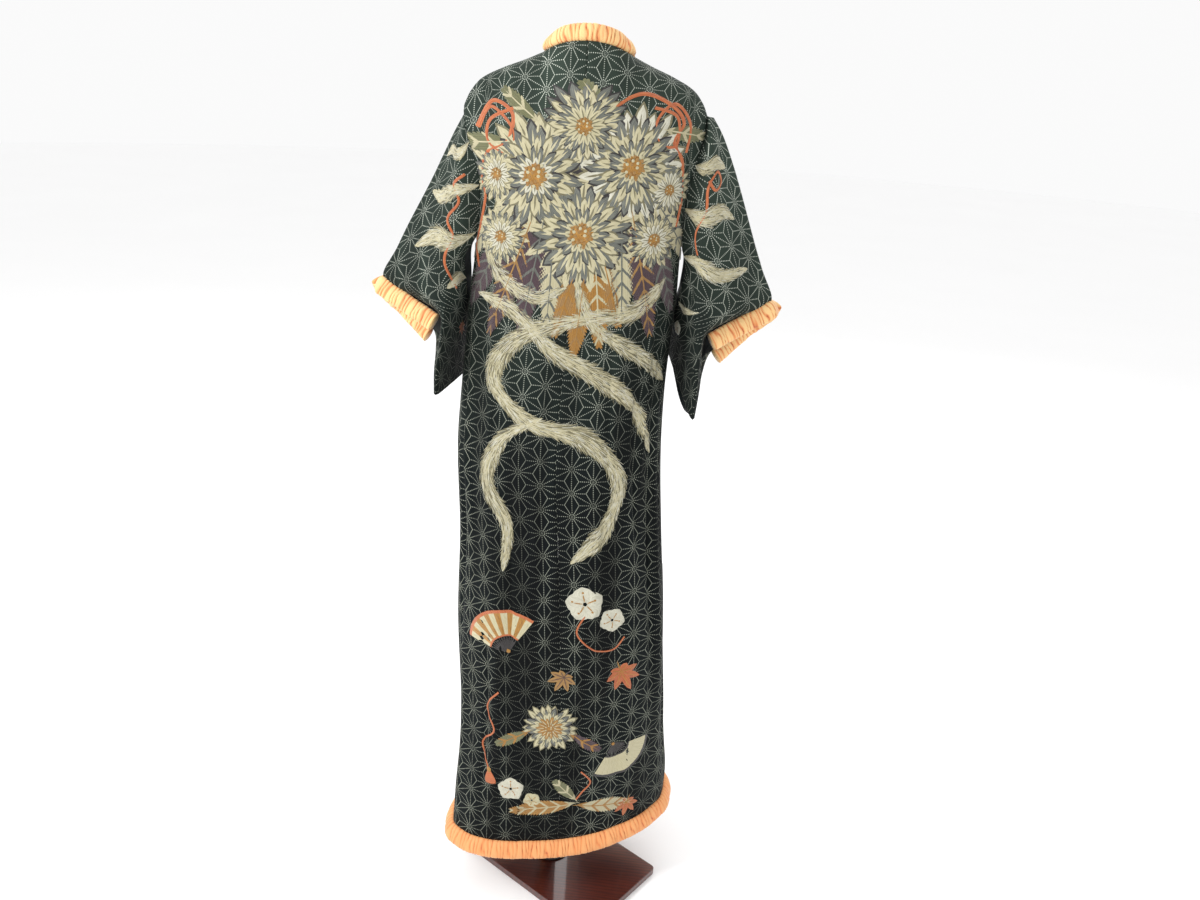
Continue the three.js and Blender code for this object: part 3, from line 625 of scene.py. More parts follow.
def add_tube(bm, rings, uv_length, fold=None):
    """A closed band from rings of points in millimetres, capped at both ends."""
    count, sides = rings.shape[:2]
    around = np.concatenate([rings, rings[:, :1]], 1)
    if fold is not None:
        fold = np.concatenate([fold, fold[:, :1]], 1)
    along = np.linspace(0, uv_length, count)[:, None] + np.zeros((1, sides + 1))
    across = np.linspace(0, 1, sides + 1)[None, :] + np.zeros((count, 1))
    add_grid(bm, around, np.stack([across * 0.07, along], -1), fold=fold)
    bmesh.ops.remove_doubles(bm, verts=bm.verts, dist=1e-5)
    ends = [edge for edge in bm.edges if edge.is_boundary]
    bmesh.ops.holes_fill(bm, edges=ends, sides=sides + 1)


def make_piece(name, bm, materials):
    """Turns a bmesh into a piece of the kimono that rides on the stand's one body."""
    mesh = bpy.data.meshes.new(name)
    bm.to_mesh(mesh)
    bm.free()
    for material in materials:
        mesh.materials.append(material)
    piece = bpy.data.objects.new(name, mesh)
    bpy.context.scene.collection.objects.link(piece)
    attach(piece, "root")
    return piece


def make_cloth(name, bm, look, node):
    """A lined sheet: the cloth given its thickness, with the lining's finish on its inside."""
    cloth = shared("patterned cloth", lambda: patterned_cloth(look))
    inside = shared("plain lining", lambda: lining(look))
    piece = make_piece(name, bm, [cloth, inside])
    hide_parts(node)
    solid = piece.modifiers.new("Cloth thickness", "SOLIDIFY")
    solid.thickness = look.cloth_thickness
    solid.offset = 0
    solid.use_even_offset = False
    solid.material_offset = 1


# Trims
def trim_paths():
    """Each gathered band's edge points and outward directions, as the part's source lays them."""
    paths = {}
    shares = np.linspace(0, 1, HEM_SAMPLES)
    path = []
    away = []
    for panel, side, order in (
        ("overlap", -1, shares[:-1]),
        ("front", -1, shares[:-1]),
        ("back", -1, shares[::-1][:-1]),
        ("back", 1, shares[1:-1]),
        ("front", 1, shares[::-1][:-1]),
        ("overlap", 1, shares[::-1]),
    ):
        height = hem_height(panel, side, order)
        edge = panel_point(panel, side, order, height)
        path.append(edge)
        down = unit(edge - panel_point(panel, side, order, height + 20))
        outward = edge - np.stack([section_centre(height), 0 * height, height], -1)
        away.append(unit(down + unit(outward) * HEM_FLARE))
    path = np.concatenate(path)
    away = np.concatenate(away)
    corner = (TRIM_WIDTH["front"] + SEAM) * 0.9
    first = path[0] + unit(path[0] - path[1]) * corner
    last = path[-1] + unit(path[-1] - path[-2]) * corner
    paths["hem"] = (
        np.concatenate([first[None], path, last[None]]),
        np.concatenate([away[:1], away, away[-1:]]),
        HEM_CLEARANCE,
    )
    for word, side in SIDES:
        bottom = float(hem_height("overlap", side, 0.0)) + FRONT_END
        steps = np.linspace(0, 1, FRONT_SAMPLES)
        height = mix(bottom, NECK_SIDE_HEIGHT - FRONT_END, 1 - (1 - steps) ** 1.4)

        def front_edge(inward):
            low = panel_point("overlap", side, inward, height)
            high = body_point("front", side, inward * 0.1, height)
            return np.where((height < OVERLAP_TOP)[:, None], low, high)

        edge = front_edge(0.0)
        paths[f"front_{word}"] = (edge, unit(edge - front_edge(0.5)), FRONT_CLEARANCE)
    turn = np.linspace(-1, 1, NECK_SAMPLES)
    share = np.abs(turn) * NECK_SHARE * NECK_TRIM_SHARE
    right = top_point(share, 1)
    left = top_point(share, -1)
    path = np.where((turn < 0)[:, None], left, right)
    path[:, 2] += NECK_TRIM_LIFT * np.abs(turn)
    away = unit(np.stack([-turn * NECK_TRIM_LEAN[0], NECK_TRIM_LEAN[1] + 0 * turn, 1 + 0 * turn], -1))
    paths["neck"] = (path, away, SEAM)
    for word, side in SIDES:
        rows = sleeve_lines(side)
        rim = SLEEVE_STEPS
        spots = [(i, rim, -1) for i in range(CUFF_END_ROW - 1, CUFF_TOP_ROW - 1, -1)]
        spots += [(CUFF_TOP_ROW, rim + 1, 0)]
        spots += [(i, rim + 2, 1) for i in range(CUFF_TOP_ROW, CUFF_END_ROW + 1)]
        path = [rows[i][column] for i, column, _ in spots]
        away = [(side * CUFF_HANG[0], layer * CUFF_HANG[1], CUFF_HANG[2]) for _, _, layer in spots]
        paths[f"cuff_{word}"] = (np.array(path), np.array(away), CUFF_CLEARANCE[side])
    return paths


def along_path(path, values, distances):
    spans = np.concatenate([[0], np.cumsum(np.linalg.norm(np.diff(path, axis=0), axis=1))])
    return np.stack([np.interp(distances, spans, values[:, k]) for k in range(3)], -1)


def gathered_rings(path, away, width, clearance, pitch, puff, seed):
    """Rings of a ruched padded band: uneven pleats cross it, and both long edges are drawn in."""
    random = np.random.default_rng(seed)
    total = np.linalg.norm(np.diff(path, axis=0), axis=1).sum()
    count = int(total / BAND_STEP) + 1
    distance = np.linspace(0, total, count)
    edge = along_path(path, path, distance)
    ahead = along_path(path, path, np.minimum(distance + TRIM_PROBE, total))
    behind = along_path(path, path, np.maximum(distance - TRIM_PROBE, 0))
    along = unit(ahead - behind)
    out = along_path(path, away, distance)
    out = unit(out - along * (out * along).sum(-1, keepdims=True))
    normal = unit(np.cross(along, out))
    centre = edge + out * (width / 2 * math.cos(math.pi / 6) + clearance)
    turn = 2 * np.pi * (np.arange(BAND_SIDES) + 0.5) / BAND_SIDES
    s = distance[:, None]
    wander = np.zeros((count, BAND_SIDES))
    for waves, weight in WANDER:
        for around in (0, 1, 2, 3):
            phase = random.uniform(0, 2 * np.pi)
            wave = np.sin(2 * np.pi * s / (waves * pitch) + around * turn + phase)
            wander += weight * wave / (1 + around * 1.2)
    pleat = np.abs(np.cos(np.pi * (s / pitch + 0.85 * wander))) ** 0.6
    small = np.abs(np.cos(np.pi * (s / (pitch * 0.47) + 0.8 * wander + 0.3 * np.sin(turn))))
    height = 0.78 + 0.12 * np.sin(2 * np.pi * s / (pitch * 5.7) + turn + seed)
    swell = puff * (height * (1 - (1 - pleat) ** 1.6) + 0.16 * small - 0.8)
    drawn = 1 - 0.22 * np.exp(-(((s % (pitch * 2.9)) / pitch - 1.4) ** 2) * 9)
    edge_pinch = 0.5 + 0.5 * np.abs(np.sin(turn)) ** 0.8
    across = width / 2 * 0.93 * np.cos(turn)
    through = TRIM_THICKNESS / 2 * 0.95 * signed_power(np.sin(turn), 0.85)
    wide = across + swell * np.cos(turn) * 0.55
    thick = through * (0.97 + 0.03 * drawn) + swell * np.sin(turn) * edge_pinch
    rings = centre[:, None] + out[:, None] * wide[..., None] + normal[:, None] * thick[..., None]
    # How high each point stands in the gathers: the crepe reads it for painted shade in the folds and a
    # painted highlight on the crests.
    fold = np.clip(0.8 + swell / puff, 0, 1)
    return rings, total, fold


# Sleeve and body surfaces
def sleeve_surface(side):
    """The sleeve as a fine grid of points."""
    fine = catmull(sleeve_lines(side), SLEEVE_FINE_ROWS)
    return catmull(fine.transpose(1, 0, 2), SLEEVE_FINE_COLUMNS).transpose(1, 0, 2)


def soften_sleeve(points, side):
    """Soft uneven hanging creases from the shoulder to the cuff and the bag's tip."""
    rows, columns = points.shape[:2]
    down = np.linspace(0, 1, rows)[:, None]
    across = np.linspace(0, 1, columns)[None, :]
    normal = grid_normals(points)
    out = np.zeros((rows, columns))
    for centre, lean, depth, spread, top, bottom in SLEEVE_CREASES:
        rise = np.clip((down - top) / (bottom - top), 0, 1)
        away = (across - centre - lean * (rise - 0.5) * (1 if side > 0 else 0.8)) / spread
        out += depth * (1 if side > 0 else 0.85) * np.exp(-away * away) * np.sin(np.pi * rise)
    return points + normal * (out * np.minimum(1, np.minimum(across, 1 - across) * 25))[..., None]


def grid_normals(points):
    """Unit normals of a grid of points, by central differences."""
    down = np.gradient(points, axis=0)
    right = np.gradient(points, axis=1)
    return unit(np.cross(right, down))


class SleeveLayer:
    """Finds points of one sleeve layer from a distance across, from its inner edge, and a height."""

    def __init__(self, points, outward):
        normal = grid_normals(points)
        facing = np.sign((normal[..., 1] * outward).sum())
        self.points = points
        self.normals = normal * facing
        self.heights = points[:, points.shape[1] // 3, 2]
        self.lengths = arc_length(points, 1)

    def at(self, across, height):
        rows = np.interp(-height, -self.heights, np.arange(len(self.heights)))
        spots = []
        normals = []
        for u, r in zip(across, rows):
            i = min(int(r), len(self.heights) - 2)
            t = r - i
            pair = []
            for row in (i, i + 1):
                c = np.interp(u, self.lengths[row], np.arange(self.lengths.shape[1]))
                j = min(int(c), self.lengths.shape[1] - 2)
                f = c - j
                pair.append(
                    (
                        mix(self.points[row, j], self.points[row, j + 1], f),
                        mix(self.normals[row, j], self.normals[row, j + 1], f),
                    )
                )
            spots.append(mix(pair[0][0], pair[1][0], t))
            normals.append(mix(pair[0][1], pair[1][1], t))
        return np.array(spots), unit(np.array(normals))


class BodyPanel:
    """Finds points of the back or front cloth from a distance across and a height."""

    def __init__(self, panel, side=0):
        self.panel = panel
        self.side = side
        self.heights = np.linspace(60, 1600, 160)
        self.widths = {}
        for s in (1, -1):
            low = panel_point(panel, s, np.zeros(160), self.heights)
            line = [low]
            for share in np.linspace(0.05, 1, 20):
                line.append(panel_point(panel, s, np.full(160, share), self.heights))
            spans = [np.linalg.norm(b - a, axis=-1) for a, b in zip(line, line[1:])]
            self.widths[s] = sum(spans)

    def place(self, across, height):
        spots = np.zeros(across.shape + (3,))
        for s in (1, -1):
            here = across >= 0 if s > 0 else across < 0
            if self.side:
                here = np.full(across.shape, s == self.side)
            if not here.any():
                continue
            width = np.interp(height[here], self.heights, self.widths[s])
            share = np.clip(np.abs(across[here]) / width, 0, 1)
            spots[here] = body_point(self.panel, s, share, height[here])
        return spots

    def at(self, across, height):
        spot = self.place(across, height)
        beside = self.place(across + 0.8, height)
        above = self.place(across, height + 0.8)
        normal = unit(np.cross(beside - spot, above - spot))
        outward = -1 if self.panel == "back" else 1
        normal *= np.where(normal[..., 1] * outward < 0, -1, 1)[..., None]
        return spot, normal


# Embroidery
class Stitching:
    """Collects stitched patches drawn flat in millimetres, and lays them on a cloth as one mesh."""

    def __init__(self, cloth):
        self.cloth = cloth
        self.cells = []
        self.frame = (0.0, 0.0, 0.0, 0.0)

    def at(self, x, y, turn=0.0, lift=0.0):
        self.frame = (x, y, math.radians(turn), lift)

    def cell(self, points, height, thread):
        """points is a grid of flat spots, height a grid of how far the thread stands up."""
        x, y, turn, lift = self.frame
        c = math.cos(turn)
        s = math.sin(turn)
        flat = np.stack(
            [x + points[..., 0] * c - points[..., 1] * s, y + points[..., 0] * s + points[..., 1] * c], -1
        )
        self.cells.append((flat, height + lift, THREADS.index(thread)))

    def petal(self, thread, x, y, turn, lift, *shape):
        """One petal-shaped patch, its shape as petal_cell takes it."""
        spots, height = petal_cell(*shape)
        self.at(x, y, turn, lift)
        self.cell(spots, height, thread)

    def build(self, bm):
        spots = np.concatenate([flat.reshape(-1, 2) for flat, _, _ in self.cells])
        lifts = np.concatenate([height.reshape(-1) for _, height, _ in self.cells])
        place, normal = self.cloth.at(spots[:, 0], spots[:, 1])
        place = place + normal * (STITCH_LIFT + lifts)[:, None]
        layer = bm.loops.layers.uv.verify()
        start = 0
        for flat, _, slot in self.cells:
            rows, columns = flat.shape[:2]
            verts = [bm.verts.new(p * MM) for p in place[start : start + rows * columns]]
            along = arc_length(flat, 0) * MM
            across = arc_length(flat, 1) * MM
            facing = normal[start : start + rows * columns].mean(0)
            for i in range(rows - 1):
                for j in range(columns - 1):
                    corners = [(i, j), (i, j + 1), (i + 1, j + 1), (i + 1, j)]
                    face = bm.faces.new([verts[a * columns + b] for a, b in corners])
                    face.normal_update()
                    if face.normal.dot(Vector(facing)) < 0:
                        face.normal_flip()
                    face.material_index = slot
                    face.smooth = True
                    where = {verts[a * columns + b]: (a, b) for a, b in corners}
                    for loop in face.loops:
                        spot = where[loop.vert]
                        loop[layer].uv = (across[spot], along[spot])
            start += rows * columns


def petal_cell(length, width, start, point, bend, rise, rows=7, columns=4):
    """A petal along +Y from the centre, with rounded threads."""
    t = np.linspace(0, 1, rows)[:, None]
    w = np.linspace(-1, 1, columns)[None, :]
    half = width / 2 * np.sin(np.pi * np.clip(0.06 + 0.94 * t, 0, 1) ** point) ** 0.65
    half = np.maximum(half, width * 0.03)
    x = half * w + bend * length * t * t
    y = start + (length - start) * t + 0 * w
    height = rise * (1 - w * w) * np.sin(np.pi * np.clip(t, 0.05, 0.95)) + 0.05
    return np.stack([x, y], -1), height


def chrysanthemum(work, x, y, radius, seed, rings=4, tones=("cream", "silver", "cream", "gold")):
    """A many-petalled blossom: long outlined petals under shorter ones, round a knotted heart."""
    random = np.random.default_rng(seed)
    for k in range(8):
        work.petal("dark", x, y, 45 * k, 0.0, radius * 0.84, radius * 0.7, 0, 1.0, 0, 0.1, 6, 5)
    for ring in range(rings):
        reach = radius * (1 - 0.17 * ring)
        count = 20 - 2 * ring
        tone = tones[ring % len(tones)]
        for k in range(count):
            turn = 360 * (k + 0.5 * (ring % 2)) / count + random.uniform(-4, 4)
            length = reach * random.uniform(0.9, 1.04)
            width = 2 * math.pi * reach * 0.7 / count
            start = length * 0.24
            bend = random.uniform(-0.06, 0.06)
            lift = 0.55 * ring + random.uniform(0, 0.14)
            outline = "dark" if tone == "silver" else "shadow"
            streak = "shadow" if tone in ("cream", "white") else "cream"
            work.petal(outline, x, y, turn, lift, length * 1.03, width * 1.16, start, 1.35, bend, 0.45, 7, 4)
            work.petal(tone, x, y, turn, lift + 0.22, length * 0.98, width * 0.86, start, 1.35, bend, 0.85)
            shape = (length * 0.84, width * 0.2, start, 1.1, bend, 0.2, 5, 3)
            work.petal(streak, x, y, turn, lift + 0.95, *shape)
    turn = np.linspace(0, 2 * np.pi, 17)[:, None]
    away = radius * 0.2 * np.linspace(0.04, 1, 5)[None, :]
    disc = np.stack([away * np.cos(turn), away * np.sin(turn)], -1)
    dome = 1.1 - 0.9 * (away / away[0, -1]) ** 2 + 0 * turn
    work.at(x, y, 0, 0.55 * rings)
    work.cell(disc, dome, "gold")
    for k in range(HEART_KNOTS):
        angle = GOLDEN_ANGLE * k
        away = radius * 0.18 * math.sqrt((k + 0.5) / HEART_KNOTS)
        knot_x = x + away * math.cos(math.radians(angle))
        knot_y = y + away * math.sin(math.radians(angle))
        knot = (radius * 0.06, radius * 0.055, 0, 0.8, 0, 0.5, 4, 4)
        work.petal("ochre" if k % 3 else "cream", knot_x, knot_y, angle - 90, 0.55 * rings + 1.1, *knot)


def long_leaf(work, x, y, turn, length, width, thread, rib):
    """A pointed leaf of slanting strips on both sides of its rib."""
    strips = max(int(length / 5.5), 6)
    for side in (-1, 1):
        for k in range(strips):
            t0 = k / strips
            t1 = min(t0 + 1.7 / strips, 1)
            reach = width / 2 * math.sin(math.pi * min(0.1 + 0.85 * t0, 1) ** 0.8)
            u = np.linspace(0, 1, 4)[None, :]
            v = np.linspace(0, 1, 3)[:, None]
            y0 = length * (t0 + 0.1 * u)
            y1 = length * (t1 + 0.05) + length * 0.04 * u
            px = side * reach * u + 0 * v
            py = mix(y0, y1, v) + reach * 0.55 * u
            tip = 1 - 0.75 * u**3
            py = mix((y0 + y1) / 2 + reach * 0.55 * u, py, tip)
            height = 0.35 * (1 - (2 * v - 1) ** 2) + 0 * u + 0.05 + 0.02 * k
            work.at(x, y, turn)
            work.cell(np.stack([px, py], -1), height, thread if k % 4 else rib)
    work.petal(rib, x, y, turn, 0.9, length * 1.02, 2.2, -length * 0.08, 1.0, 0, 0.4, 9, 3)


def smooth_path(points, step):
    line = catmull(np.array(points, float), 24)
    spans = np.concatenate([[0], np.cumsum(np.linalg.norm(np.diff(line, axis=0), axis=1))])
    count = max(int(spans[-1] / step), 4)
    distance = np.linspace(0, spans[-1], count)
    return np.stack([np.interp(distance, spans, line[:, k]) for k in (0, 1)], -1), distance


def brushed_band(work, points, width, seed):
    """A stream or drift of mist: fine strokes that run with it over a padded bed and fray at its edges."""
    random = np.random.default_rng(seed)
    line, distance = smooth_path(points, 1.5)
    along = unit(np.gradient(line, axis=0))
    side = np.stack([-along[:, 1], along[:, 0]], -1)
    total = distance[-1]
    last = len(line) - 1
    ends = np.minimum(distance, total - distance) / (2.8 * width)
    taper = 0.05 + 0.95 * np.sin(np.pi / 2 * np.clip(ends, 0, 1)) ** 0.85
    swell = 1 + 0.2 * np.sin(distance / 41 + seed) + 0.1 * np.sin(distance / 17 + 2 * seed)
    half = width / 2 * taper * swell
    at = np.linspace(0, last, max(int(total / 5), 3)).astype(int)
    across = np.linspace(-1, 1, 9)[None, :]
    bed = line[at][:, None] + side[at][:, None] * (across * half[at][:, None])[..., None]
    rise = 0.08 + 0.5 * (1 - across**4) + 0 * half[at][:, None]
    work.at(0, 0)
    work.cell(bed, rise, "shadow")
    tones = ("cream", "cream", "white", "cream")
    for _ in range(int(total * width / 7.5)):
        start = int(random.uniform(0, last - 5))
        w = random.uniform(-0.93, 0.93)
        outer = abs(w) ** 2
        steps = int(random.uniform(7, 15) * (1 - 0.35 * outer))
        flare = (0.05 + 0.5 * outer) * random.uniform(0.4, 1.2) * (1 if w > 0 else -1)
        spots = []
        for share in (0, 0.35, 0.7, 1):
            i = min(start + round(steps * share), last)
            middle = line[i] + side[i] * (w + flare * share) * half[i]
            thin = (0.42 if share < 1 else 0.1) * (0.8 if outer > 0.5 else 1)
            spots.append([middle - side[i] * thin, middle + side[i] * thin])
        top = 0.72 + 0.35 * (1 - outer) + random.uniform(0, 0.2)
        dim = random.uniform() < 0.03 + 0.42 * outer
        if dim:
            tone = "shadow" if random.uniform() < 0.8 else "silver"
        else:
            tone = tones[int(random.integers(len(tones)))]
        work.cell(np.array(spots), np.array([[top - 0.3] * 2, [top] * 2, [top] * 2, [0.3, 0.3]]), tone)


def couched_cord(work, points, width, thread):
    """A round silk cord laid along a path."""
    line, _ = smooth_path(points, 2.2)
    along = unit(np.gradient(line, axis=0))
    side = np.stack([-along[:, 1], along[:, 0]], -1)
    w = np.linspace(-1, 1, 4)
    spots = line[:, None] + side[:, None] * (w * width / 2)[None, :, None]
    height = np.tile(0.1 + 0.9 * (1 - w * w), (len(line), 1))
    work.at(0, 0)
    work.cell(spots, height, thread)


def tassel(work, x, y, turn, length, thread):
    """A fan of nine strands under a gold knot."""
    for k in range(-4, 5):
        strand = (length, length * 0.16, length * 0.22, 1.9, 0.02 * k, 0.5, 6, 3)
        work.petal(thread, x, y, turn + 5.0 * k, 0.1, *strand)
    work.petal("gold", x, y, turn, 0.5, length * 0.34, length * 0.26, 0, 0.9, 0, 1.1, 5, 4)


def folding_fan(work, x, y, turn, radius, leaf, edge):
    """An open fan: pleated leaf, darker edge bands and ribs that meet at its rivet."""
    blades = 13
    spread = 118
    for k in range(blades):
        start = -spread / 2 + spread * k / blades
        end = start + spread / blades
        fold = leaf if k % 2 else "cream"
        for low, high, thread in ((0.42, 0.93, fold), (0.93, 1.0, edge), (0.38, 0.42, edge)):
            a = np.radians(np.linspace(start, end, 3))[None, :]
            r = radius * np.linspace(low, high, 4)[:, None]
            spots = np.stack([r * np.sin(a), r * np.cos(a)], -1)
            height = np.tile(np.array([0.15, 0.75, 0.15]), (4, 1))
            work.at(x, y, turn, 0.1)
            work.cell(spots, height, thread)
        rib = (radius * 0.42, radius * 0.045, -radius * 0.04, 1.0, 0, 0.6, 4, 3)
        work.petal("dark", x, y, turn - (start + end) / 2, 0.3, *rib)
    work.petal("gold", x, y, turn, 1.0, radius * 0.07, radius * 0.09, -radius * 0.03, 0.9, 0, 0.8, 4, 4)


def plum_blossom(work, x, y, turn, radius, petals="white"):
    """Five round petals, each with a gold streak and a knot."""
    for k in range(5):
        way = turn + 72 * k
        knot_x = x + radius * 0.62 * math.cos(math.radians(way + 90))
        knot_y = y + radius * 0.62 * math.sin(math.radians(way + 90))
        work.petal(petals, x, y, way, 0.1, radius, radius * 1.02, radius * 0.1, 1.25, 0, 0.9, 7, 5)
        work.petal("gold", x, y, way, 1.0, radius * 0.6, radius * 0.07, radius * 0.12, 1.3, 0, 0.3, 4, 3)
        work.petal("gold", knot_x, knot_y, 30 * k, 1.0, radius * 0.13, radius * 0.12, 0, 0.8, 0, 0.6, 4, 3)


def maple_leaf(work, x, y, turn, radius, thread, rib):
    """Seven lobes with their ribs, and a stalk."""
    for k, reach in zip(range(-3, 4), (0.5, 0.78, 0.95, 1.05, 0.95, 0.78, 0.5)):
        way = turn + 42 * k
        lift = 0.1 + 0.12 * (3 - abs(k))
        work.petal(thread, x, y, way, lift, radius * reach, radius * 0.36, 0, 0.85, 0, 0.6, 7, 4)
        work.petal(rib, x, y, way, 1.1, radius * reach * 0.85, radius * 0.04, 0, 1.0, 0, 0.3, 5, 3)
    work.petal(rib, x, y, turn + 180, 0.6, radius * 0.62, radius * 0.06, 0, 1.0, 0.12, 0.4, 5, 3)


# Materials
def srgb(red, green, blue):
    """A screen colour from 0 to 255 as the linear colour that a shader takes."""
    values = [v / 255 for v in (red, green, blue)]
    return tuple(v / 12.92 if v <= 0.04045 else ((v + 0.055) / 1.055) ** 2.4 for v in values) + (1.0,)


class Number:
    """A socket in a material that plain arithmetic turns into Math nodes."""

    def __init__(self, finish, socket):
        self.finish = finish
        self.socket = socket

    def __add__(self, other):
        return self.finish.maths("ADD", self, other)

    __radd__ = __add__

    def __sub__(self, other):
        return self.finish.maths("SUBTRACT", self, other)

    def __rsub__(self, other):
        return self.finish.maths("SUBTRACT", other, self)

    def __mul__(self, other):
        return self.finish.maths("MULTIPLY", self, other)

    __rmul__ = __mul__

    def __truediv__(self, other):
        return self.finish.maths("DIVIDE", self, other)

    def __abs__(self):
        return self.finish.maths("ABSOLUTE", self)


class Finish:
    """One material, with its shader's fixed values set on the sockets themselves."""

    def __init__(self, name, fixed):
        self.material = bpy.data.materials.new(name)
        self.material.use_nodes = True
        self.tree = self.material.node_tree
        self.shader = self.tree.nodes["Principled BSDF"]
        for key, value in fixed.items():
            self.shader.inputs[key].default_value = value

    def node(self, kind, settings=None, inputs=None, output=0):
        made = self.tree.nodes.new("ShaderNode" + kind)
        for key, value in (settings or {}).items():
            setattr(made, key, value)
        for key, value in (inputs or {}).items():
            if isinstance(value, Number):
                self.tree.links.new(value.socket, made.inputs[key])
            else:
                made.inputs[key].default_value = value
        return Number(self, made.outputs[output])

    def maths(self, operation, *values):
        return self.node("Math", {"operation": operation}, dict(enumerate(values)))

    def ease(self, value, low, high):
        """0 below low and 1 above high, or the other way round where high is less than low."""
        settings = {"interpolation_type": "SMOOTHSTEP"}
        if low < high:
            return self.node("MapRange", settings, {0: value, 1: low, 2: high, 3: 0.0, 4: 1.0})
        return self.node("MapRange", settings, {0: value, 1: high, 2: low, 3: 1.0, 4: 0.0})

    def blend(self, factor, a, b):
        return self.node("Mix", {"data_type": "RGBA"}, {0: factor, 6: a, 7: b}, 2)

    def noise(self, vector, scale, detail=3.0, rough=0.55):
        inputs = {"Vector": vector, "Scale": scale, "Detail": detail, "Roughness": rough}
        return self.node("TexNoise", {}, inputs)

    def feed(self, socket, value):
        self.tree.links.new(value.socket, self.shader.inputs[socket])

    def bump(self, height, distance, strength=1.0):
        made = self.node("Bump", {}, {"Strength": strength, "Distance": distance, "Height": height})
        self.feed("Normal", made)


def patterned_cloth(look):
    """Dark silk twill with a stitched hemp leaf pattern: twelve rays meet at each star."""
    f = Finish(
        "patterned cloth",
        {"Sheen Weight": 0.01, "Sheen Roughness": 0.4, "Specular IOR Level": 0.07},
    )
    uv = f.node("UVMap")
    x = f.node("SeparateXYZ", {}, {0: uv}, 0)
    y = f.node("SeparateXYZ", {}, {0: uv}, 1)
    wobble = f.noise(uv, 34.0, 1.0)
    pitch = look.star_pitch
    wide = pitch * math.sqrt(3)
    column = (x + (wobble - 0.5) * 0.0012) / wide
    row = (y + (wobble - 0.5) * 0.0012) / pitch
    near_x = (f.maths("FRACT", column + 0.5) - 0.5) * wide
    near_y = (f.maths("FRACT", row + 0.5) - 0.5) * pitch
    other_x = (f.maths("FRACT", column) - 0.5) * wide
    other_y = (f.maths("FRACT", row) - 0.5) * pitch
    near = near_x * near_x + near_y * near_y
    other = other_x * other_x + other_y * other_y
    pick = f.maths("LESS_THAN", near, other)
    dx = other_x + (near_x - other_x) * pick
    dy = other_y + (near_y - other_y) * pick
    radius = f.maths("SQRT", f.maths("MINIMUM", near, other))
    turn = f.maths("ARCTAN2", dy, dx) * (6 / math.pi)
    ray = f.maths("ROUND", turn)
    off = (turn - ray) * (math.pi / 6)
    beside = abs(radius * f.maths("SINE", off))
    along = radius * f.maths("COSINE", off)
    is_even = 1 - abs(f.maths("MODULO", ray, 2.0))
    is_solid = is_even * f.maths("LESS_THAN", abs(abs(ray) - 3), 2.5)

    def dots(step):
        cell = (f.maths("FRACT", along / step) - 0.5) * step
        return f.maths("SQRT", cell * cell + beside * beside)

    spots = dots(pitch / 13)
    dotted = f.ease(spots, 0.00105, 0.0006)
    solid = f.ease(beside, 0.0007, 0.0003) * (0.26 + 0.74 * f.ease(spots, 0.0017, 0.0008))
    rays = (dotted + (solid - dotted) * is_solid) * f.ease(radius, 0.0012, 0.0046)
    heart = f.ease(radius, 0.003, 0.0014)
    knots = f.ease(f.noise(uv, 620.0, 1.0), 0.42, 0.56)
    worn = f.ease(f.noise(uv, 60.0, 2.0), 0.25, 0.6)
    stitched = f.maths("MAXIMUM", rays * (0.55 + 0.45 * worn), heart * knots * 0.45)
    place = f.node("TexCoord", {}, {}, "Object")
    height = f.node("SeparateXYZ", {}, {0: place}, 2)
    shade = f.noise(place, 5.0, 3.0)
    # Painted top light: the ground and the stitches are painted lighter towards the shoulders and darker
    # towards the hem, as if lit from above.
    painted_top_light = f.ease(height, 0.8, 1.5)
    across = f.node("SeparateXYZ", {}, {0: place}, 0)
    # Painted fold shade: long vertical bands of noise, weaker near the shoulders, dim the stitches and darken
    # the ground, standing in for shadows in the folds.
    hang = f.node("CombineXYZ", {}, {0: across * 15.0, 1: 0.0, 2: height * 1.1})
    painted_fold_shade = f.ease(f.noise(hang, 1.0, 2.0), 0.41, 0.59)
    painted_fold_shade = painted_fold_shade + (1 - painted_fold_shade) * (0.3 + 0.42 * painted_top_light)
    ground = f.blend(painted_top_light, tuple(look.cloth_shaded_hem), tuple(look.cloth_lit_top))
    ground = f.blend(shade * 0.55, ground, tuple(look.cloth_tint))
    slub = f.node("TexNoise", {}, {"Vector": uv, "Scale": 900.0, "Detail": 2.0})
    ground = f.blend(slub * 0.12, ground, srgb(48, 58, 54))
    thread = f.blend(painted_top_light, tuple(look.pattern_shaded_hem), tuple(look.pattern_lit_top))
    thread = f.blend(f.noise(uv, 150.0, 2.0) * 0.3, thread, srgb(214, 220, 204))
    # Painted fold shade: the ground goes near black in the shaded bands.
    ground = f.blend(painted_fold_shade, srgb(8, 9, 10), ground)
    f.feed("Base Color", f.blend(stitched * painted_fold_shade * look.pattern_strength, ground, thread))
    f.feed("Roughness", 0.66 - stitched * 0.12 + (slub - 0.5) * 0.12)
    twill = f.maths("SINE", (x + y * 0.6) * (2 * math.pi / 0.0011)) * 0.12
    f.bump(stitched * 0.9 + twill + slub * 0.35, 0.0005, 0.8)
    return f.material


def lining(look):
    """The plain silk inside of the cloth."""
    f = Finish("plain lining", {"Sheen Weight": 0.15, "Roughness": 0.55, "Specular IOR Level": 0.35})
    uv = f.node("UVMap")
    slub = f.noise(uv, 700.0, 2.0)
    soft = f.noise(uv, 9.0, 3.0)
    tone = f.blend(soft, tuple(look.lining_colour), srgb(28, 34, 38))
    f.feed("Base Color", f.blend(slub * 0.2, tone, srgb(70, 80, 78)))
    f.bump(slub, 0.0003, 0.5)
    return f.material


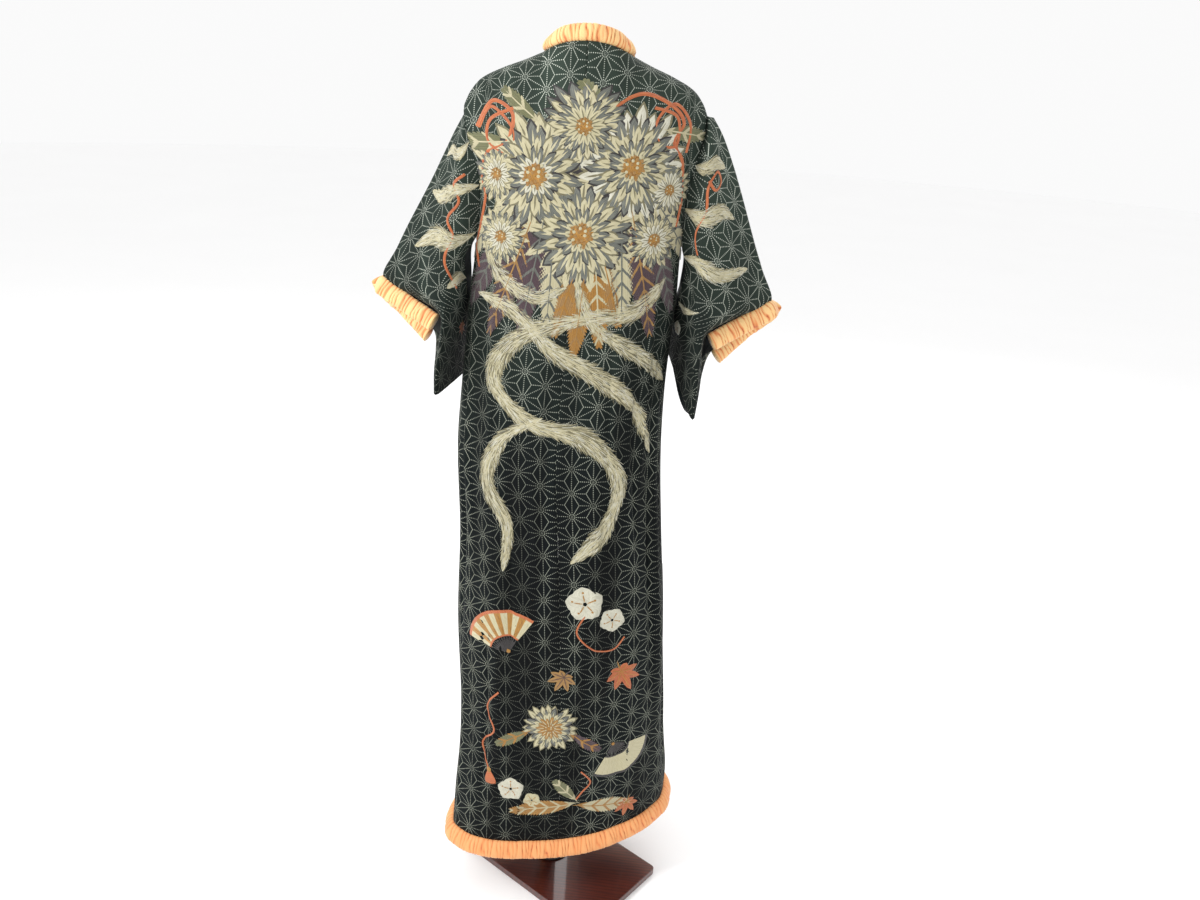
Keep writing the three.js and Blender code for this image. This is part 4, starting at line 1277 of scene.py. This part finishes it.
def gathered_crepe(look):
    """Pale orange crepe, painted deeper in its folds as shade and paler on its crests as a highlight."""
    f = Finish("gathered crepe", {"Sheen Weight": 0.3, "Sheen Roughness": 0.4, "Specular IOR Level": 0.3})
    fold = f.node("Attribute", {"attribute_name": "fold"}, {}, "Fac")
    place = f.node("TexCoord", {}, {}, "Object")
    blotch = f.noise(place, 26.0, 3.0)
    grain = f.noise(place, 1500.0, 2.0)
    # Painted shade deep in the gathers, from the fold attribute with random blotches.
    depth = f.ease(fold + (blotch - 0.5) * 0.25, 0.1, 0.55)
    tone = f.blend(depth, tuple(look.trim_fold_shade), tuple(look.trim_colour))
    # Painted highlight on the crests, stronger higher up as if lit from above.
    crest = f.ease(fold, 0.5, 0.9)
    place_z = f.node("SeparateXYZ", {}, {0: place}, 2)
    pale = 0.28 + 0.62 * f.ease(place_z, 0.4, 1.2)
    tone = f.blend(crest * pale, tone, tuple(look.trim_crest_highlight))
    f.feed("Base Color", f.blend(grain * 0.12, tone, srgb(255, 226, 186)))
    f.feed("Roughness", 0.62 + (grain - 0.5) * 0.15)
    f.bump(grain, 0.0004, 0.6)
    return f.material


def silk_thread(name, colour, shade, rough, metal):
    """Satin-stitched threads that lie side by side along their patch."""
    f = Finish(
        f"{name} thread",
        {"Metallic": metal, "Sheen Weight": 0.2, "Specular IOR Level": 0.5},
    )
    uv = f.node("UVMap")
    x = f.node("SeparateXYZ", {}, {0: uv}, 0)
    y = f.node("SeparateXYZ", {}, {0: uv}, 1)
    bend = f.noise(uv, 220.0, 1.0)
    lay = f.maths("SINE", (x + bend * 0.0004) * (2 * math.pi / 0.0009))
    strands = lay * 0.5 + 0.5
    # Painted light: random streaks along the threads mix each thread's lit colour with its shaded colour.
    length = f.ease(f.noise(f.node("CombineXYZ", {}, {0: x * 900, 1: y * 70}), 1.0, 2.0), 0.3, 0.7)
    tone = f.blend(length, colour, shade)
    # Painted shade in the grooves between the strands.
    f.feed("Base Color", f.blend((1 - strands) * 0.35, tone, tuple(c * 0.45 for c in shade[:3]) + (1.0,)))
    f.feed("Roughness", rough + 0.14 * (1 - strands))
    f.bump(strands, 0.0004, 0.7)
    return f.material


def form_cover(look):
    """Stretched jersey over the form."""
    f = Finish("form cover", {"Sheen Weight": 0.15, "Specular IOR Level": 0.3})
    place = f.node("TexCoord", {}, {}, "Object")
    knit = f.node("TexWave", {"bands_direction": "X"}, {"Vector": place, "Scale": 420.0, "Distortion": 1.5})
    speck = f.noise(place, 800.0, 2.0)
    tone = f.blend(f.noise(place, 7.0), tuple(look.form_colour), srgb(201, 190, 172))
    f.feed("Base Color", f.blend(speck * 0.25, tone, srgb(236, 228, 214)))
    f.feed("Roughness", 0.78 + (speck - 0.5) * 0.15)
    f.bump(knit + speck, 0.0003, 0.5)
    return f.material


def polished_wood(look):
    """Red-brown wood under a glossy varnish, its grain along the board."""
    f = Finish("polished wood", {"Coat Roughness": 0.06, "Specular IOR Level": 0.5})
    place = f.node("TexCoord", {}, {}, "Object")
    board = f.node(
        "Mapping", {}, {"Vector": place, "Rotation": (0, 0, math.radians(-141)), "Scale": (1.0, 9.0, 9.0)}
    )
    rings = f.node(
        "TexWave",
        {"bands_direction": "Y"},
        {"Vector": board, "Scale": 6.0, "Distortion": 7.0, "Detail": 4.0, "Detail Scale": 1.2},
    )
    pores = f.noise(board, 90.0, 4.0, 0.7)
    tone = f.blend(rings, tuple(look.wood_colour), srgb(62, 23, 15))
    tone = f.blend(f.ease(pores, 0.5, 0.75) * 0.4, tone, srgb(38, 15, 11))
    f.feed("Base Color", tone)
    f.feed("Roughness", 0.3 + pores * 0.12)
    f.feed("Coat Weight", 0.9 - pores * 0.1)
    f.bump(pores, 0.0002, 0.3)
    return f.material


def dark_metal():
    """Satin black paint with a slight orange peel and worn patches."""
    f = Finish("dark metal", {"Metallic": 0.0, "Specular IOR Level": 0.5})
    place = f.node("TexCoord", {}, {}, "Object")
    peel = f.noise(place, 900.0, 2.0)
    worn = f.noise(place, 24.0, 4.0)
    f.feed("Base Color", f.blend(f.ease(worn, 0.55, 0.8) * 0.5, srgb(28, 27, 28), srgb(58, 56, 55)))
    f.feed("Roughness", 0.32 + worn * 0.2)
    f.bump(peel, 0.0001, 0.4)
    return f.material


def floor_finish():
    f = Finish("pale floor", {"Specular IOR Level": 0.2})
    place = f.node("TexCoord", {}, {}, "Object")
    soft = f.noise(place, 1.2, 3.0)
    f.feed("Base Color", f.blend(soft, srgb(252, 252, 252), srgb(255, 255, 255)))
    f.feed("Roughness", 0.7 + (soft - 0.5) * 0.1)
    return f.material


def thread_finishes():
    made = []
    for name in THREADS:
        light, deep, rough, metal = THREAD_TONES[name]
        found = bpy.data.materials.get(f"{name} thread")
        made.append(found or silk_thread(name, srgb(*light), srgb(*deep), rough, metal))
    return made


def shared(name, maker):
    return bpy.data.materials.get(name) or maker()


# Values that a user would change
def length_value(name, description, default):
    return bpy.props.FloatProperty(name=name, description=description, default=default, unit="LENGTH")


def colour_value(name, description, *screen):
    return bpy.props.FloatVectorProperty(
        name=name, description=description, size=4, subtype="COLOR", default=srgb(*screen)
    )


class KimonoLook(bpy.types.PropertyGroup):
    star_pitch: length_value("Star pitch", "Distance between two stars of the pattern", 0.0428)
    pattern_strength: bpy.props.FloatProperty(
        name="Pattern strength",
        description="How clearly the stitched pattern shows",
        default=0.9,
        subtype="FACTOR",
    )
    gather_pitch: length_value("Gather pitch", "Distance between two gathers of a trim", 0.0077)
    gather_depth: length_value("Gather depth", "How far a gather stands up", 0.0034)
    cloth_thickness: length_value("Cloth thickness", "Thickness of the cloth with its lining", 0.0012)
    # The upper and lower cloth and pattern colours are lit and shaded copies: painted top light, lighter at
    # the shoulders and darker at the hem.
    cloth_lit_top: colour_value("Upper cloth", "Ground colour at the shoulders", 60, 72, 62)
    cloth_shaded_hem: colour_value("Lower cloth", "Ground colour at the hem", 8, 11, 11)
    cloth_tint: colour_value("Cloth tint", "Bluish tint of the ground", 15, 22, 28)
    pattern_lit_top: colour_value("Upper pattern", "Colour of the stitches at the shoulders", 222, 228, 214)
    pattern_shaded_hem: colour_value("Lower pattern", "Colour of the stitches at the hem", 158, 162, 146)
    lining_colour: colour_value("Lining", "Colour of the plain lining", 36, 44, 46)
    trim_colour: colour_value("Trim", "Colour of the gathered trims", 224, 136, 74)
    # Trim folds hold painted shade and trim crests a painted highlight.
    trim_fold_shade: colour_value("Trim folds", "Colour deep in the gathers", 172, 66, 32)
    trim_crest_highlight: colour_value("Trim crests", "Colour on top of the gathers", 244, 204, 140)
    form_colour: colour_value("Form cover", "Colour of the dress form", 218, 207, 190)
    wood_colour: colour_value("Board", "Colour of the board's wood", 84, 32, 20)


def panel_uv(points, side, panel, ridge=None):
    """The weave's own coordinates in metres: distance from the centre back, and height along the cloth."""
    rows = points.shape[0]
    lengths = arc_length(points, 1)
    widths = lengths[:, -1:]
    round_row = int(rows * HEIGHT_STEPS / (HEIGHT_STEPS + ROUND_STEPS))
    climb = arc_length(points[..., 1:], 0)
    middle = rows // 3
    if panel == "back":
        below = np.abs(points[round_row, :, 0] - section_centre(points[round_row, :, 2]))
        beside = np.abs(points[..., 0] - section_centre(points[..., 2]))
        straight = np.interp(beside, below, lengths[round_row]) + np.maximum(beside - below[-1], 0)
        across = np.where((np.arange(rows) > round_row)[:, None], straight, lengths)
        along = points[middle, :, 2][None, :] + climb - climb[middle][None, :]
    else:
        ridge_across = np.abs(ridge[:, 0]) / MM - SEAM_SHIFT
        ridge_along = ridge[:, 1] / MM - side * 5
        hung = ridge_across[-1] - (widths - lengths)
        rise = np.interp(np.arange(rows), [0, rows * 0.7, rows - 1], [0, 0, 1])[:, None]
        across = mix(hung, ridge_across[None, :], rise)
        along = ridge_along[None, :] + (climb[-1][None, :] - climb)
    return np.stack([side * (across + SEAM_SHIFT), along + side * 5], -1) * MM


def dip_seams(points, inner=True, outer=True, depth=1.0, reach=3.0):
    """Draws the cloth in a little along the sewn edges of a panel."""
    lengths = arc_length(points, 1)
    normal = grid_normals(points)
    centre = points.reshape(-1, 3).mean(0)
    inward = np.sign(((centre - points) * normal).sum(-1, keepdims=True))
    dip = np.zeros(lengths.shape)
    if inner:
        dip += np.exp(-((lengths / reach) ** 2))
    if outer:
        dip += np.exp(-(((lengths[:, -1:] - lengths) / reach) ** 2))
    return points + normal * inward * (depth * dip)[..., None]


class KIMONO_OT_cloth(bpy.types.Operator):
    """Make the two lengths of cloth and the front overlap panels"""

    bl_idname = "kimono.cloth"
    bl_label = "Body cloth"

    def execute(self, context):
        look = context.scene.kimono_look
        below = slice(None, -SHOULDER_ROWS)
        for word, side in SIDES:
            back = panel_grid("back", side, BACK_COLUMNS, BODY_ROWS)
            front = panel_grid("front", side, FRONT_COLUMNS, BODY_ROWS)
            back_uv = panel_uv(back, side, "back")
            front_uv = panel_uv(front, side, "front", back_uv[-1, NECK_COLUMNS:, :])
            back[below] = dip_seams(back)[below]
            front[below] = dip_seams(front, inner=False)[below]
            bm = bmesh.new()
            add_grid(bm, back, back_uv, flip=side < 0)
            add_grid(bm, front, front_uv, flip=side > 0)
            bmesh.ops.remove_doubles(bm, verts=bm.verts, dist=1e-6)
            make_cloth(f"robe_{word}", bm, look, f"body_{word}")
            points = overlap_grid(side, WEDGE_COLUMNS, WEDGE_ROWS)
            across = side * (arc_length(points, 1) + 60)
            bm = bmesh.new()
            add_grid(bm, points, np.stack([across, points[..., 2]], -1) * MM, flip=side > 0)
            make_cloth(f"front_wedge_{word}", bm, look, f"overlap_{word}")
        return {"FINISHED"}


class KIMONO_OT_sleeves(bpy.types.Operator):
    """Make the two sleeves, folded at the top and open at the cuff and inner edge"""

    bl_idname = "kimono.sleeves"
    bl_label = "Sleeves"

    def execute(self, context):
        look = context.scene.kimono_look
        cuff_rows = range(CUFF_TOP_ROW * SLEEVE_FINE_ROWS, CUFF_END_ROW * SLEEVE_FINE_ROWS)
        cuff_columns = range(RIM_START, RIM_END)
        for word, side in SIDES:
            points = soften_sleeve(sleeve_surface(side), side)
            across = arc_length(points, 1)
            middle = across[:, across.shape[1] // 2][:, None]
            uv = np.stack([side * (np.abs(across - middle) + 10), points[..., 2]], -1) * MM
            bm = bmesh.new()
            add_grid(
                bm, points, uv, flip=side > 0, keep=lambda i, j: not (i in cuff_rows and j in cuff_columns)
            )
            apex = armhole_point("back", side, HEIGHT_STEPS + ROUND_STEPS)
            cap = mix(apex, points[:1], np.linspace(0, 1, SLEEVE_CAP_ROWS + 1)[:, None, None])
            cap_uv = np.stack([uv[:1, :, 0] + 0 * cap[..., 0], cap[..., 2] * MM], -1)
            add_grid(bm, cap, cap_uv, flip=side > 0)
            bmesh.ops.remove_doubles(bm, verts=bm.verts, dist=1e-6)
            make_cloth(f"sleeve_cloth_{word}", bm, look, f"sleeve_{word}")
        return {"FINISHED"}


class KIMONO_OT_trims(bpy.types.Operator):
    """Make the gathered padded bands at the neck, fronts, hem and cuffs"""

    bl_idname = "kimono.trims"
    bl_label = "Gathered trims"

    def execute(self, context):
        look = context.scene.kimono_look
        crepe = shared("gathered crepe", lambda: gathered_crepe(look))
        pitch = look.gather_pitch / MM
        puff = look.gather_depth / MM
        for seed, (name, (path, away, clearance)) in enumerate(trim_paths().items()):
            part, _, word = name.partition("_")
            width = TRIM_WIDTH[part]
            rings, total, fold = gathered_rings(path, away, width, clearance, pitch, puff, 40 + seed)
            bm = bmesh.new()
            add_tube(bm, rings, total * MM, fold)
            piece = make_piece(f"gathered_band_{name}", bm, [crepe])
            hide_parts(f"{part}_trim_{word}" if word else f"{part}_trim")
        return {"FINISHED"}


def back_embroidery(work):
    """Streams, blossoms and leaves down the back, a design of the script's own."""
    brushed_band(
        work,
        [
            (152, 1232), (100, 1180), (16, 1164), (-78, 1126), (-112, 1056),
            (-50, 992), (44, 966), (102, 896), (78, 806), (20, 742),
        ],
        27, 1,
    )
    brushed_band(work, [(-158, 1190), (-92, 1172), (-20, 1112), (66, 1064), (128, 1012), (172, 930)], 25, 2)
    brushed_band(work, [(6, 1226), (34, 1160), (92, 1122), (146, 1090), (186, 1056)], 22, 3)
    brushed_band(work, [(-26, 1000), (-88, 958), (-118, 880), (-86, 800), (-98, 716)], 23, 4)
    brushed_band(work, [(-150, 1288), (-120, 1230), (-60, 1196), (-8, 1214)], 20, 5)
    couched_cord(
        work,
        [
            (-152, 1440), (-126, 1478), (-98, 1462), (-112, 1424), (-146, 1404),
            (-158, 1368), (-150, 1342), (-158, 1300), (-166, 1262), (-158, 1230),
        ],
        5.4, "orange",
    )
    couched_cord(
        work,
        [
            (30, 1478), (74, 1500), (122, 1486), (146, 1462),
            (136, 1436), (158, 1404), (166, 1352), (160, 1310),
        ],
        5.4, "orange",
    )
    for spot in (
        (-84, 1330, 150, 176, 44, "plum", "silver"),
        (-66, 1322, 162, 192, 44, "plum", "ochre"),
        (-50, 1316, 172, 168, 40, "plum", "silver"),
        (-104, 1338, 138, 132, 36, "cream", "silver"),
        (-34, 1312, 180, 150, 36, "cream", "silver"),
        (96, 1340, 206, 172, 42, "plum", "silver"),
        (82, 1330, 195, 184, 42, "plum", "ochre"),
        (116, 1352, 220, 120, 34, "cream", "silver"),
        (66, 1322, 186, 150, 36, "cream", "silver"),
        (6, 1258, 168, 118, 32, "ochre", "gold"),
        (18, 1256, 178, 140, 36, "gold", "ochre"),
        (32, 1256, 188, 128, 34, "gold", "cream"),
        (44, 1260, 198, 104, 30, "ochre", "gold"),
        (-104, 1424, 96, 74, 28, "moss", "cream"),
        (-60, 1452, 48, 62, 24, "moss", "cream"),
        (22, 1470, 30, 48, 20, "moss", "cream"),
        (118, 1452, 262, 60, 24, "moss", "cream"),
    ):
        long_leaf(work, *spot)
    couched_cord(
        work,
        [(-96, 1470), (-132, 1452), (-140, 1420), (-112, 1408), (-100, 1440), (-128, 1470), (-150, 1440)],
        4.4, "orange",
    )
    couched_cord(
        work,
        [
            (96, 1482), (134, 1470), (140, 1430), (112, 1436),
            (104, 1466), (128, 1488), (156, 1462), (160, 1420),
        ],
        4.4, "orange",
    )
    chrysanthemum(work, -128, 1376, 46, 17, 4, tones=("cream", "silver", "cream", "white"))
    chrysanthemum(work, 138, 1366, 42, 18, 3, tones=("cream", "silver", "white"))
    chrysanthemum(work, 2, 1452, 60, 19, 4, tones=("silver", "cream", "silver", "cream"))
    chrysanthemum(work, -66, 1378, 90, 11, 5, tones=("cream", "silver", "cream", "silver", "white"))
    chrysanthemum(work, 78, 1398, 86, 12, 5, tones=("white", "silver", "cream", "silver", "cream"))
    chrysanthemum(work, 8, 1296, 92, 13, 5, tones=("cream", "silver", "cream", "silver", "cream"))
    chrysanthemum(work, -116, 1284, 48, 14, 4, tones=("cream", "silver", "cream", "white"))
    chrysanthemum(work, 120, 1292, 50, 15, 4, tones=("cream", "silver", "cream", "white"))
    folding_fan(work, -92, 556, 24, 84, "gold", "orange")
    plum_blossom(work, 44, 664, 10, 34)
    plum_blossom(work, 94, 628, 40, 24)
    couched_cord(work, [(44, 640), (30, 604), (58, 572), (96, 566), (118, 590)], 3.2, "orange")
    maple_leaf(work, 112, 516, 205, 42, "orange", "gold")
    maple_leaf(work, 6, 512, 150, 32, "ochre", "plum")
    chrysanthemum(work, -20, 402, 52, 16, 4, tones=("cream", "silver", "cream", "gold"))
    long_leaf(work, -56, 392, 118, 66, 24, "moss", "gold")
    long_leaf(work, 16, 388, 236, 66, 24, "plum", "gold")
    couched_cord(work, [(-112, 470), (-140, 430), (-122, 386), (-150, 350), (-134, 300)], 3.4, "orange")
    tassel(work, -134, 304, 186, 36, "orange")
    folding_fan(work, 100, 356, -150, 76, "cream", "dark")
    plum_blossom(work, -92, 262, 0, 25)
    plum_blossom(work, -52, 236, 30, 17, "cream")
    long_leaf(work, 30, 226, 96, 116, 34, "gold", "cream")
    long_leaf(work, 34, 220, 262, 104, 34, "cream", "gold")
    long_leaf(work, 32, 232, 40, 62, 24, "moss", "cream")
    maple_leaf(work, 136, 206, 170, 32, "orange", "gold")
    couched_cord(work, [(40, 300), (58, 276), (44, 252), (32, 232)], 3.2, "orange")


def front_embroidery(work, side):
    """Smaller motifs on a front, from its inner edge outwards."""
    if side > 0:
        brushed_band(work, [(20, 1120), (70, 1080), (120, 1020), (90, 940), (40, 880)], 22, 21)
        chrysanthemum(work, 70, 1290, 44, 22, 3)
        long_leaf(work, 52, 1262, 160, 84, 26, "plum", "ochre")
        folding_fan(work, 64, 640, -20, 54, "gold", "orange")
        plum_blossom(work, 50, 470, 12, 22)
        maple_leaf(work, 88, 380, 190, 30, "orange", "gold")
        plum_blossom(work, 60, 262, 40, 24, "cream")
    else:
        brushed_band(work, [(18, 1060), (66, 1010), (112, 960), (128, 870)], 22, 23)
        chrysanthemum(work, 64, 1330, 40, 24, 3, tones=("silver", "cream", "gold"))
        long_leaf(work, 74, 1302, 196, 84, 26, "ochre", "gold")
        maple_leaf(work, 60, 700, 160, 32, "orange", "gold")
        chrysanthemum(work, 70, 520, 38, 25, 3)
        long_leaf(work, 92, 500, 220, 60, 20, "moss", "gold")
        folding_fan(work, 66, 300, 16, 52, "cream", "dark")


def sleeve_embroidery(work, side, layer):
    """Drifts of mist and a looped cord; the layers differ a little."""
    seed = 60 + (10 if side > 0 else 0) + (5 if layer == "front" else 0)
    if side > 0:
        brushed_band(work, [(2, 1404), (22, 1398), (40, 1404), (66, 1396)], 30, seed)
        brushed_band(work, [(2, 1338), (36, 1326), (70, 1334), (104, 1322)], 36, seed + 1)
        brushed_band(work, [(2, 1262), (40, 1256), (78, 1240), (136, 1246)], 30, seed + 2)
        brushed_band(work, [(4, 1180), (34, 1172), (66, 1184)], 20, seed + 3)
        cord = [
            (34, 1380), (50, 1366), (60, 1378), (46, 1392),
            (36, 1372), (42, 1334), (30, 1300), (38, 1270),
        ]
        couched_cord(work, cord, 4, "orange")
        plum_blossom(work, 24, 1120, 15, 15)
    else:
        brushed_band(work, [(2, 1412), (24, 1400), (44, 1404), (64, 1392)], 32, seed)
        brushed_band(work, [(2, 1352), (40, 1346), (72, 1334), (100, 1338)], 36, seed + 1)
        brushed_band(work, [(4, 1282), (40, 1270), (76, 1274), (120, 1252)], 28, seed + 2)
        brushed_band(work, [(2, 1206), (30, 1212), (58, 1198)], 20, seed + 3)
        cord = [(20, 1370), (40, 1356), (34, 1330), (52, 1304), (42, 1276), (52, 1236), (40, 1196)]
        couched_cord(work, cord, 4, "orange")
        maple_leaf(work, 26, 1120, 185, 18, "orange", "gold")


class KIMONO_OT_embroidery(bpy.types.Operator):
    """Make the stitched blossoms, leaves, fans and streams that lie on the cloth"""

    bl_idname = "kimono.embroidery"
    bl_label = "Embroidery"

    def execute(self, context):
        works = []
        back = Stitching(BodyPanel("back"))
        back_embroidery(back)
        works.append(("embroidery_back", back))
        for word, side in SIDES:
            front = Stitching(BodyPanel("front", side))
            front_embroidery(front, side)
            works.append((f"embroidery_front_{word}", front))
            points = soften_sleeve(sleeve_surface(side), side)
            layers = {
                "back": SleeveLayer(points[:, : RIM_START + 1], -1),
                "front": SleeveLayer(points[:, RIM_END:][:, ::-1], 1),
            }
            for layer, cloth in layers.items():
                work = Stitching(cloth)
                sleeve_embroidery(work, side, layer)
                works.append((f"embroidery_sleeve_{layer}_{word}", work))
        for name, work in works:
            bm = bmesh.new()
            work.build(bm)
            make_piece(name, bm, thread_finishes())
        return {"FINISHED"}


def soft_edge(bm, edges, offset, segments, **more):
    bmesh.ops.bevel(
        bm, geom=edges, offset=offset, segments=segments, profile=0.5, material=-1, affect="EDGES", **more
    )


def turned(profile):
    """A round part turned from its profile about the upright axis."""
    bm = bmesh.new()
    verts = [bm.verts.new((radius * MM, 0, height * MM)) for radius, height in profile]
    for a, b in zip(verts, verts[1:]):
        bm.edges.new((a, b))
    bmesh.ops.spin(
        bm, geom=bm.verts[:] + bm.edges[:], cent=(0, 0, 0), axis=(0, 0, 1), angle=2 * math.pi,
        steps=64, use_merge=True, dvec=(0, 0, 0),
    )
    bmesh.ops.remove_doubles(bm, verts=bm.verts, dist=1e-6)
    bmesh.ops.recalc_face_normals(bm, faces=bm.faces)
    for face in bm.faces:
        face.smooth = abs(face.normal.z) < 0.95
    return bm


class KIMONO_OT_stand(bpy.types.Operator):
    """Make the dress form, pole, flange and board"""

    bl_idname = "kimono.stand"
    bl_label = "Stand"

    def execute(self, context):
        look = context.scene.kimono_look
        cover = shared("form cover", lambda: form_cover(look))
        wood = shared("polished wood", lambda: polished_wood(look))
        metal = shared("dark metal", dark_metal)
        height, half_width, half_depth = np.array(FORM, float).T[:, :, None]
        turn = 2 * np.pi * np.arange(72) / 72
        across = section_centre(height) + half_width * np.cos(turn)
        rings = np.stack([across, half_depth * np.sin(turn), height + 0 * turn], -1)
        bm = bmesh.new()
        add_tube(bm, rings, 0.8)
        bmesh.ops.recalc_face_normals(bm, faces=bm.faces)
        rims = [e for e in bm.edges if len(e.link_faces) == 2 and e.calc_face_angle(0) > 1.0]
        soft_edge(bm, rims, 0.004, 3, clamp_overlap=True)
        piece = make_piece("form_body", bm, [cover])
        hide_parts("dress_form")
        bm = bmesh.new()
        bmesh.ops.create_cube(bm, size=1)
        size = (BOARD_LENGTH * MM, BOARD_WIDTH * MM, BOARD_THICKNESS * MM)
        bmesh.ops.scale(bm, vec=size, verts=bm.verts)
        corners = [e for e in bm.edges if abs(e.verts[0].co.z - e.verts[1].co.z) > 0.01]
        soft_edge(bm, corners, BOARD_CORNER * MM, 8)
        edges = [e for e in bm.edges if abs(e.verts[0].co.z - e.verts[1].co.z) < 0.001]
        soft_edge(bm, edges, BOARD_EDGE * MM, 3)
        bmesh.ops.translate(bm, vec=(0, 0, BOARD_THICKNESS * MM / 2), verts=bm.verts)
        around = Matrix.Rotation(math.radians(BOARD_TURN), 3, "Z")
        bmesh.ops.rotate(bm, cent=(0, 0, 0), matrix=around, verts=bm.verts)
        for face in bm.faces:
            face.smooth = face.calc_area() < 0.002
        piece = make_piece("board", bm, [wood])
        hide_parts("base_board")
        for node, name, profile in (("pole", "pole_tube", POLE), ("pole_flange", "floor_flange", FLANGE)):
            piece = make_piece(name, turned(profile), [metal])
            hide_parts(node)
        return {"FINISHED"}


class KIMONO_OT_stage(bpy.types.Operator):
    """Make the pale floor, the studio lights and the camera"""

    bl_idname = "kimono.stage"
    bl_label = "Stage"

    def execute(self, context):
        scene = context.scene
        bm = bmesh.new()
        bmesh.ops.create_circle(bm, cap_ends=True, segments=96, radius=FLOOR_RADIUS)
        mesh = bpy.data.meshes.new("floor")
        bm.to_mesh(mesh)
        bm.free()
        mesh.materials.append(floor_finish())
        floor = bpy.data.objects.new("floor", mesh)
        scene.collection.objects.link(floor)
        world = bpy.data.worlds.new("studio")
        world.use_nodes = True
        backdrop = world.node_tree.nodes["Background"]
        backdrop.inputs[0].default_value = (1.0, 1.0, 1.0, 1.0)
        backdrop.inputs[1].default_value = WORLD_LIGHT
        scene.world = world
        scene.view_settings.view_transform = "Standard"
        for name, spot, power, size in LIGHTS:
            light = bpy.data.lights.new(name, "AREA")
            light.energy = power
            light.size = size
            lamp = bpy.data.objects.new(name, light)
            lamp.location = spot
            aim = Vector(LIGHTS_AIM) - Vector(spot)
            lamp.rotation_euler = aim.to_track_quat("-Z", "Y").to_euler()
            scene.collection.objects.link(lamp)
        pitch = math.radians(CAMERA_PITCH)
        roll = math.radians(CAMERA_ROLL)
        forward = Vector((0, math.cos(pitch), -math.sin(pitch)))
        level = Vector((1, 0, 0))
        upward = level.cross(forward)
        right = math.cos(roll) * level + math.sin(roll) * upward
        up = math.cos(roll) * upward - math.sin(roll) * level
        lens = bpy.data.cameras.new("camera")
        lens.lens = CAMERA_LENS
        lens.sensor_width = CAMERA_SENSOR
        camera = bpy.data.objects.new("camera", lens)
        turn = Matrix((right, up, -forward)).transposed().to_4x4()
        camera.matrix_world = Matrix.Translation(CAMERA_SPOT) @ turn
        scene.collection.objects.link(camera)
        scene.camera = camera
        return {"FINISHED"}


class KIMONO_PT_sidebar(bpy.types.Panel):
    bl_idname = "KIMONO_PT_sidebar"
    bl_label = "Kimono"
    bl_space_type = "VIEW_3D"
    bl_region_type = "UI"
    bl_category = "Kimono"

    def draw(self, context):
        look = context.scene.kimono_look
        for name in KimonoLook.__annotations__:
            self.layout.prop(look, name)
        for step in STEPS:
            self.layout.operator(step.bl_idname)


STEPS = (
    KIMONO_OT_stage,
    KIMONO_OT_cloth,
    KIMONO_OT_sleeves,
    KIMONO_OT_trims,
    KIMONO_OT_embroidery,
    KIMONO_OT_stand,
)
CLASSES = (KimonoLook, *STEPS, KIMONO_PT_sidebar)


def register():
    for made in CLASSES:
        bpy.utils.register_class(made)
    bpy.types.Scene.kimono_look = bpy.props.PointerProperty(type=KimonoLook)


def unregister():
    del bpy.types.Scene.kimono_look
    for made in reversed(CLASSES):
        bpy.utils.unregister_class(made)


def main():
    register()
    for step in STEPS:
        group, name = step.bl_idname.split(".")
        getattr(getattr(bpy.ops, group), name)()


if __name__ == "__main__":
    main()
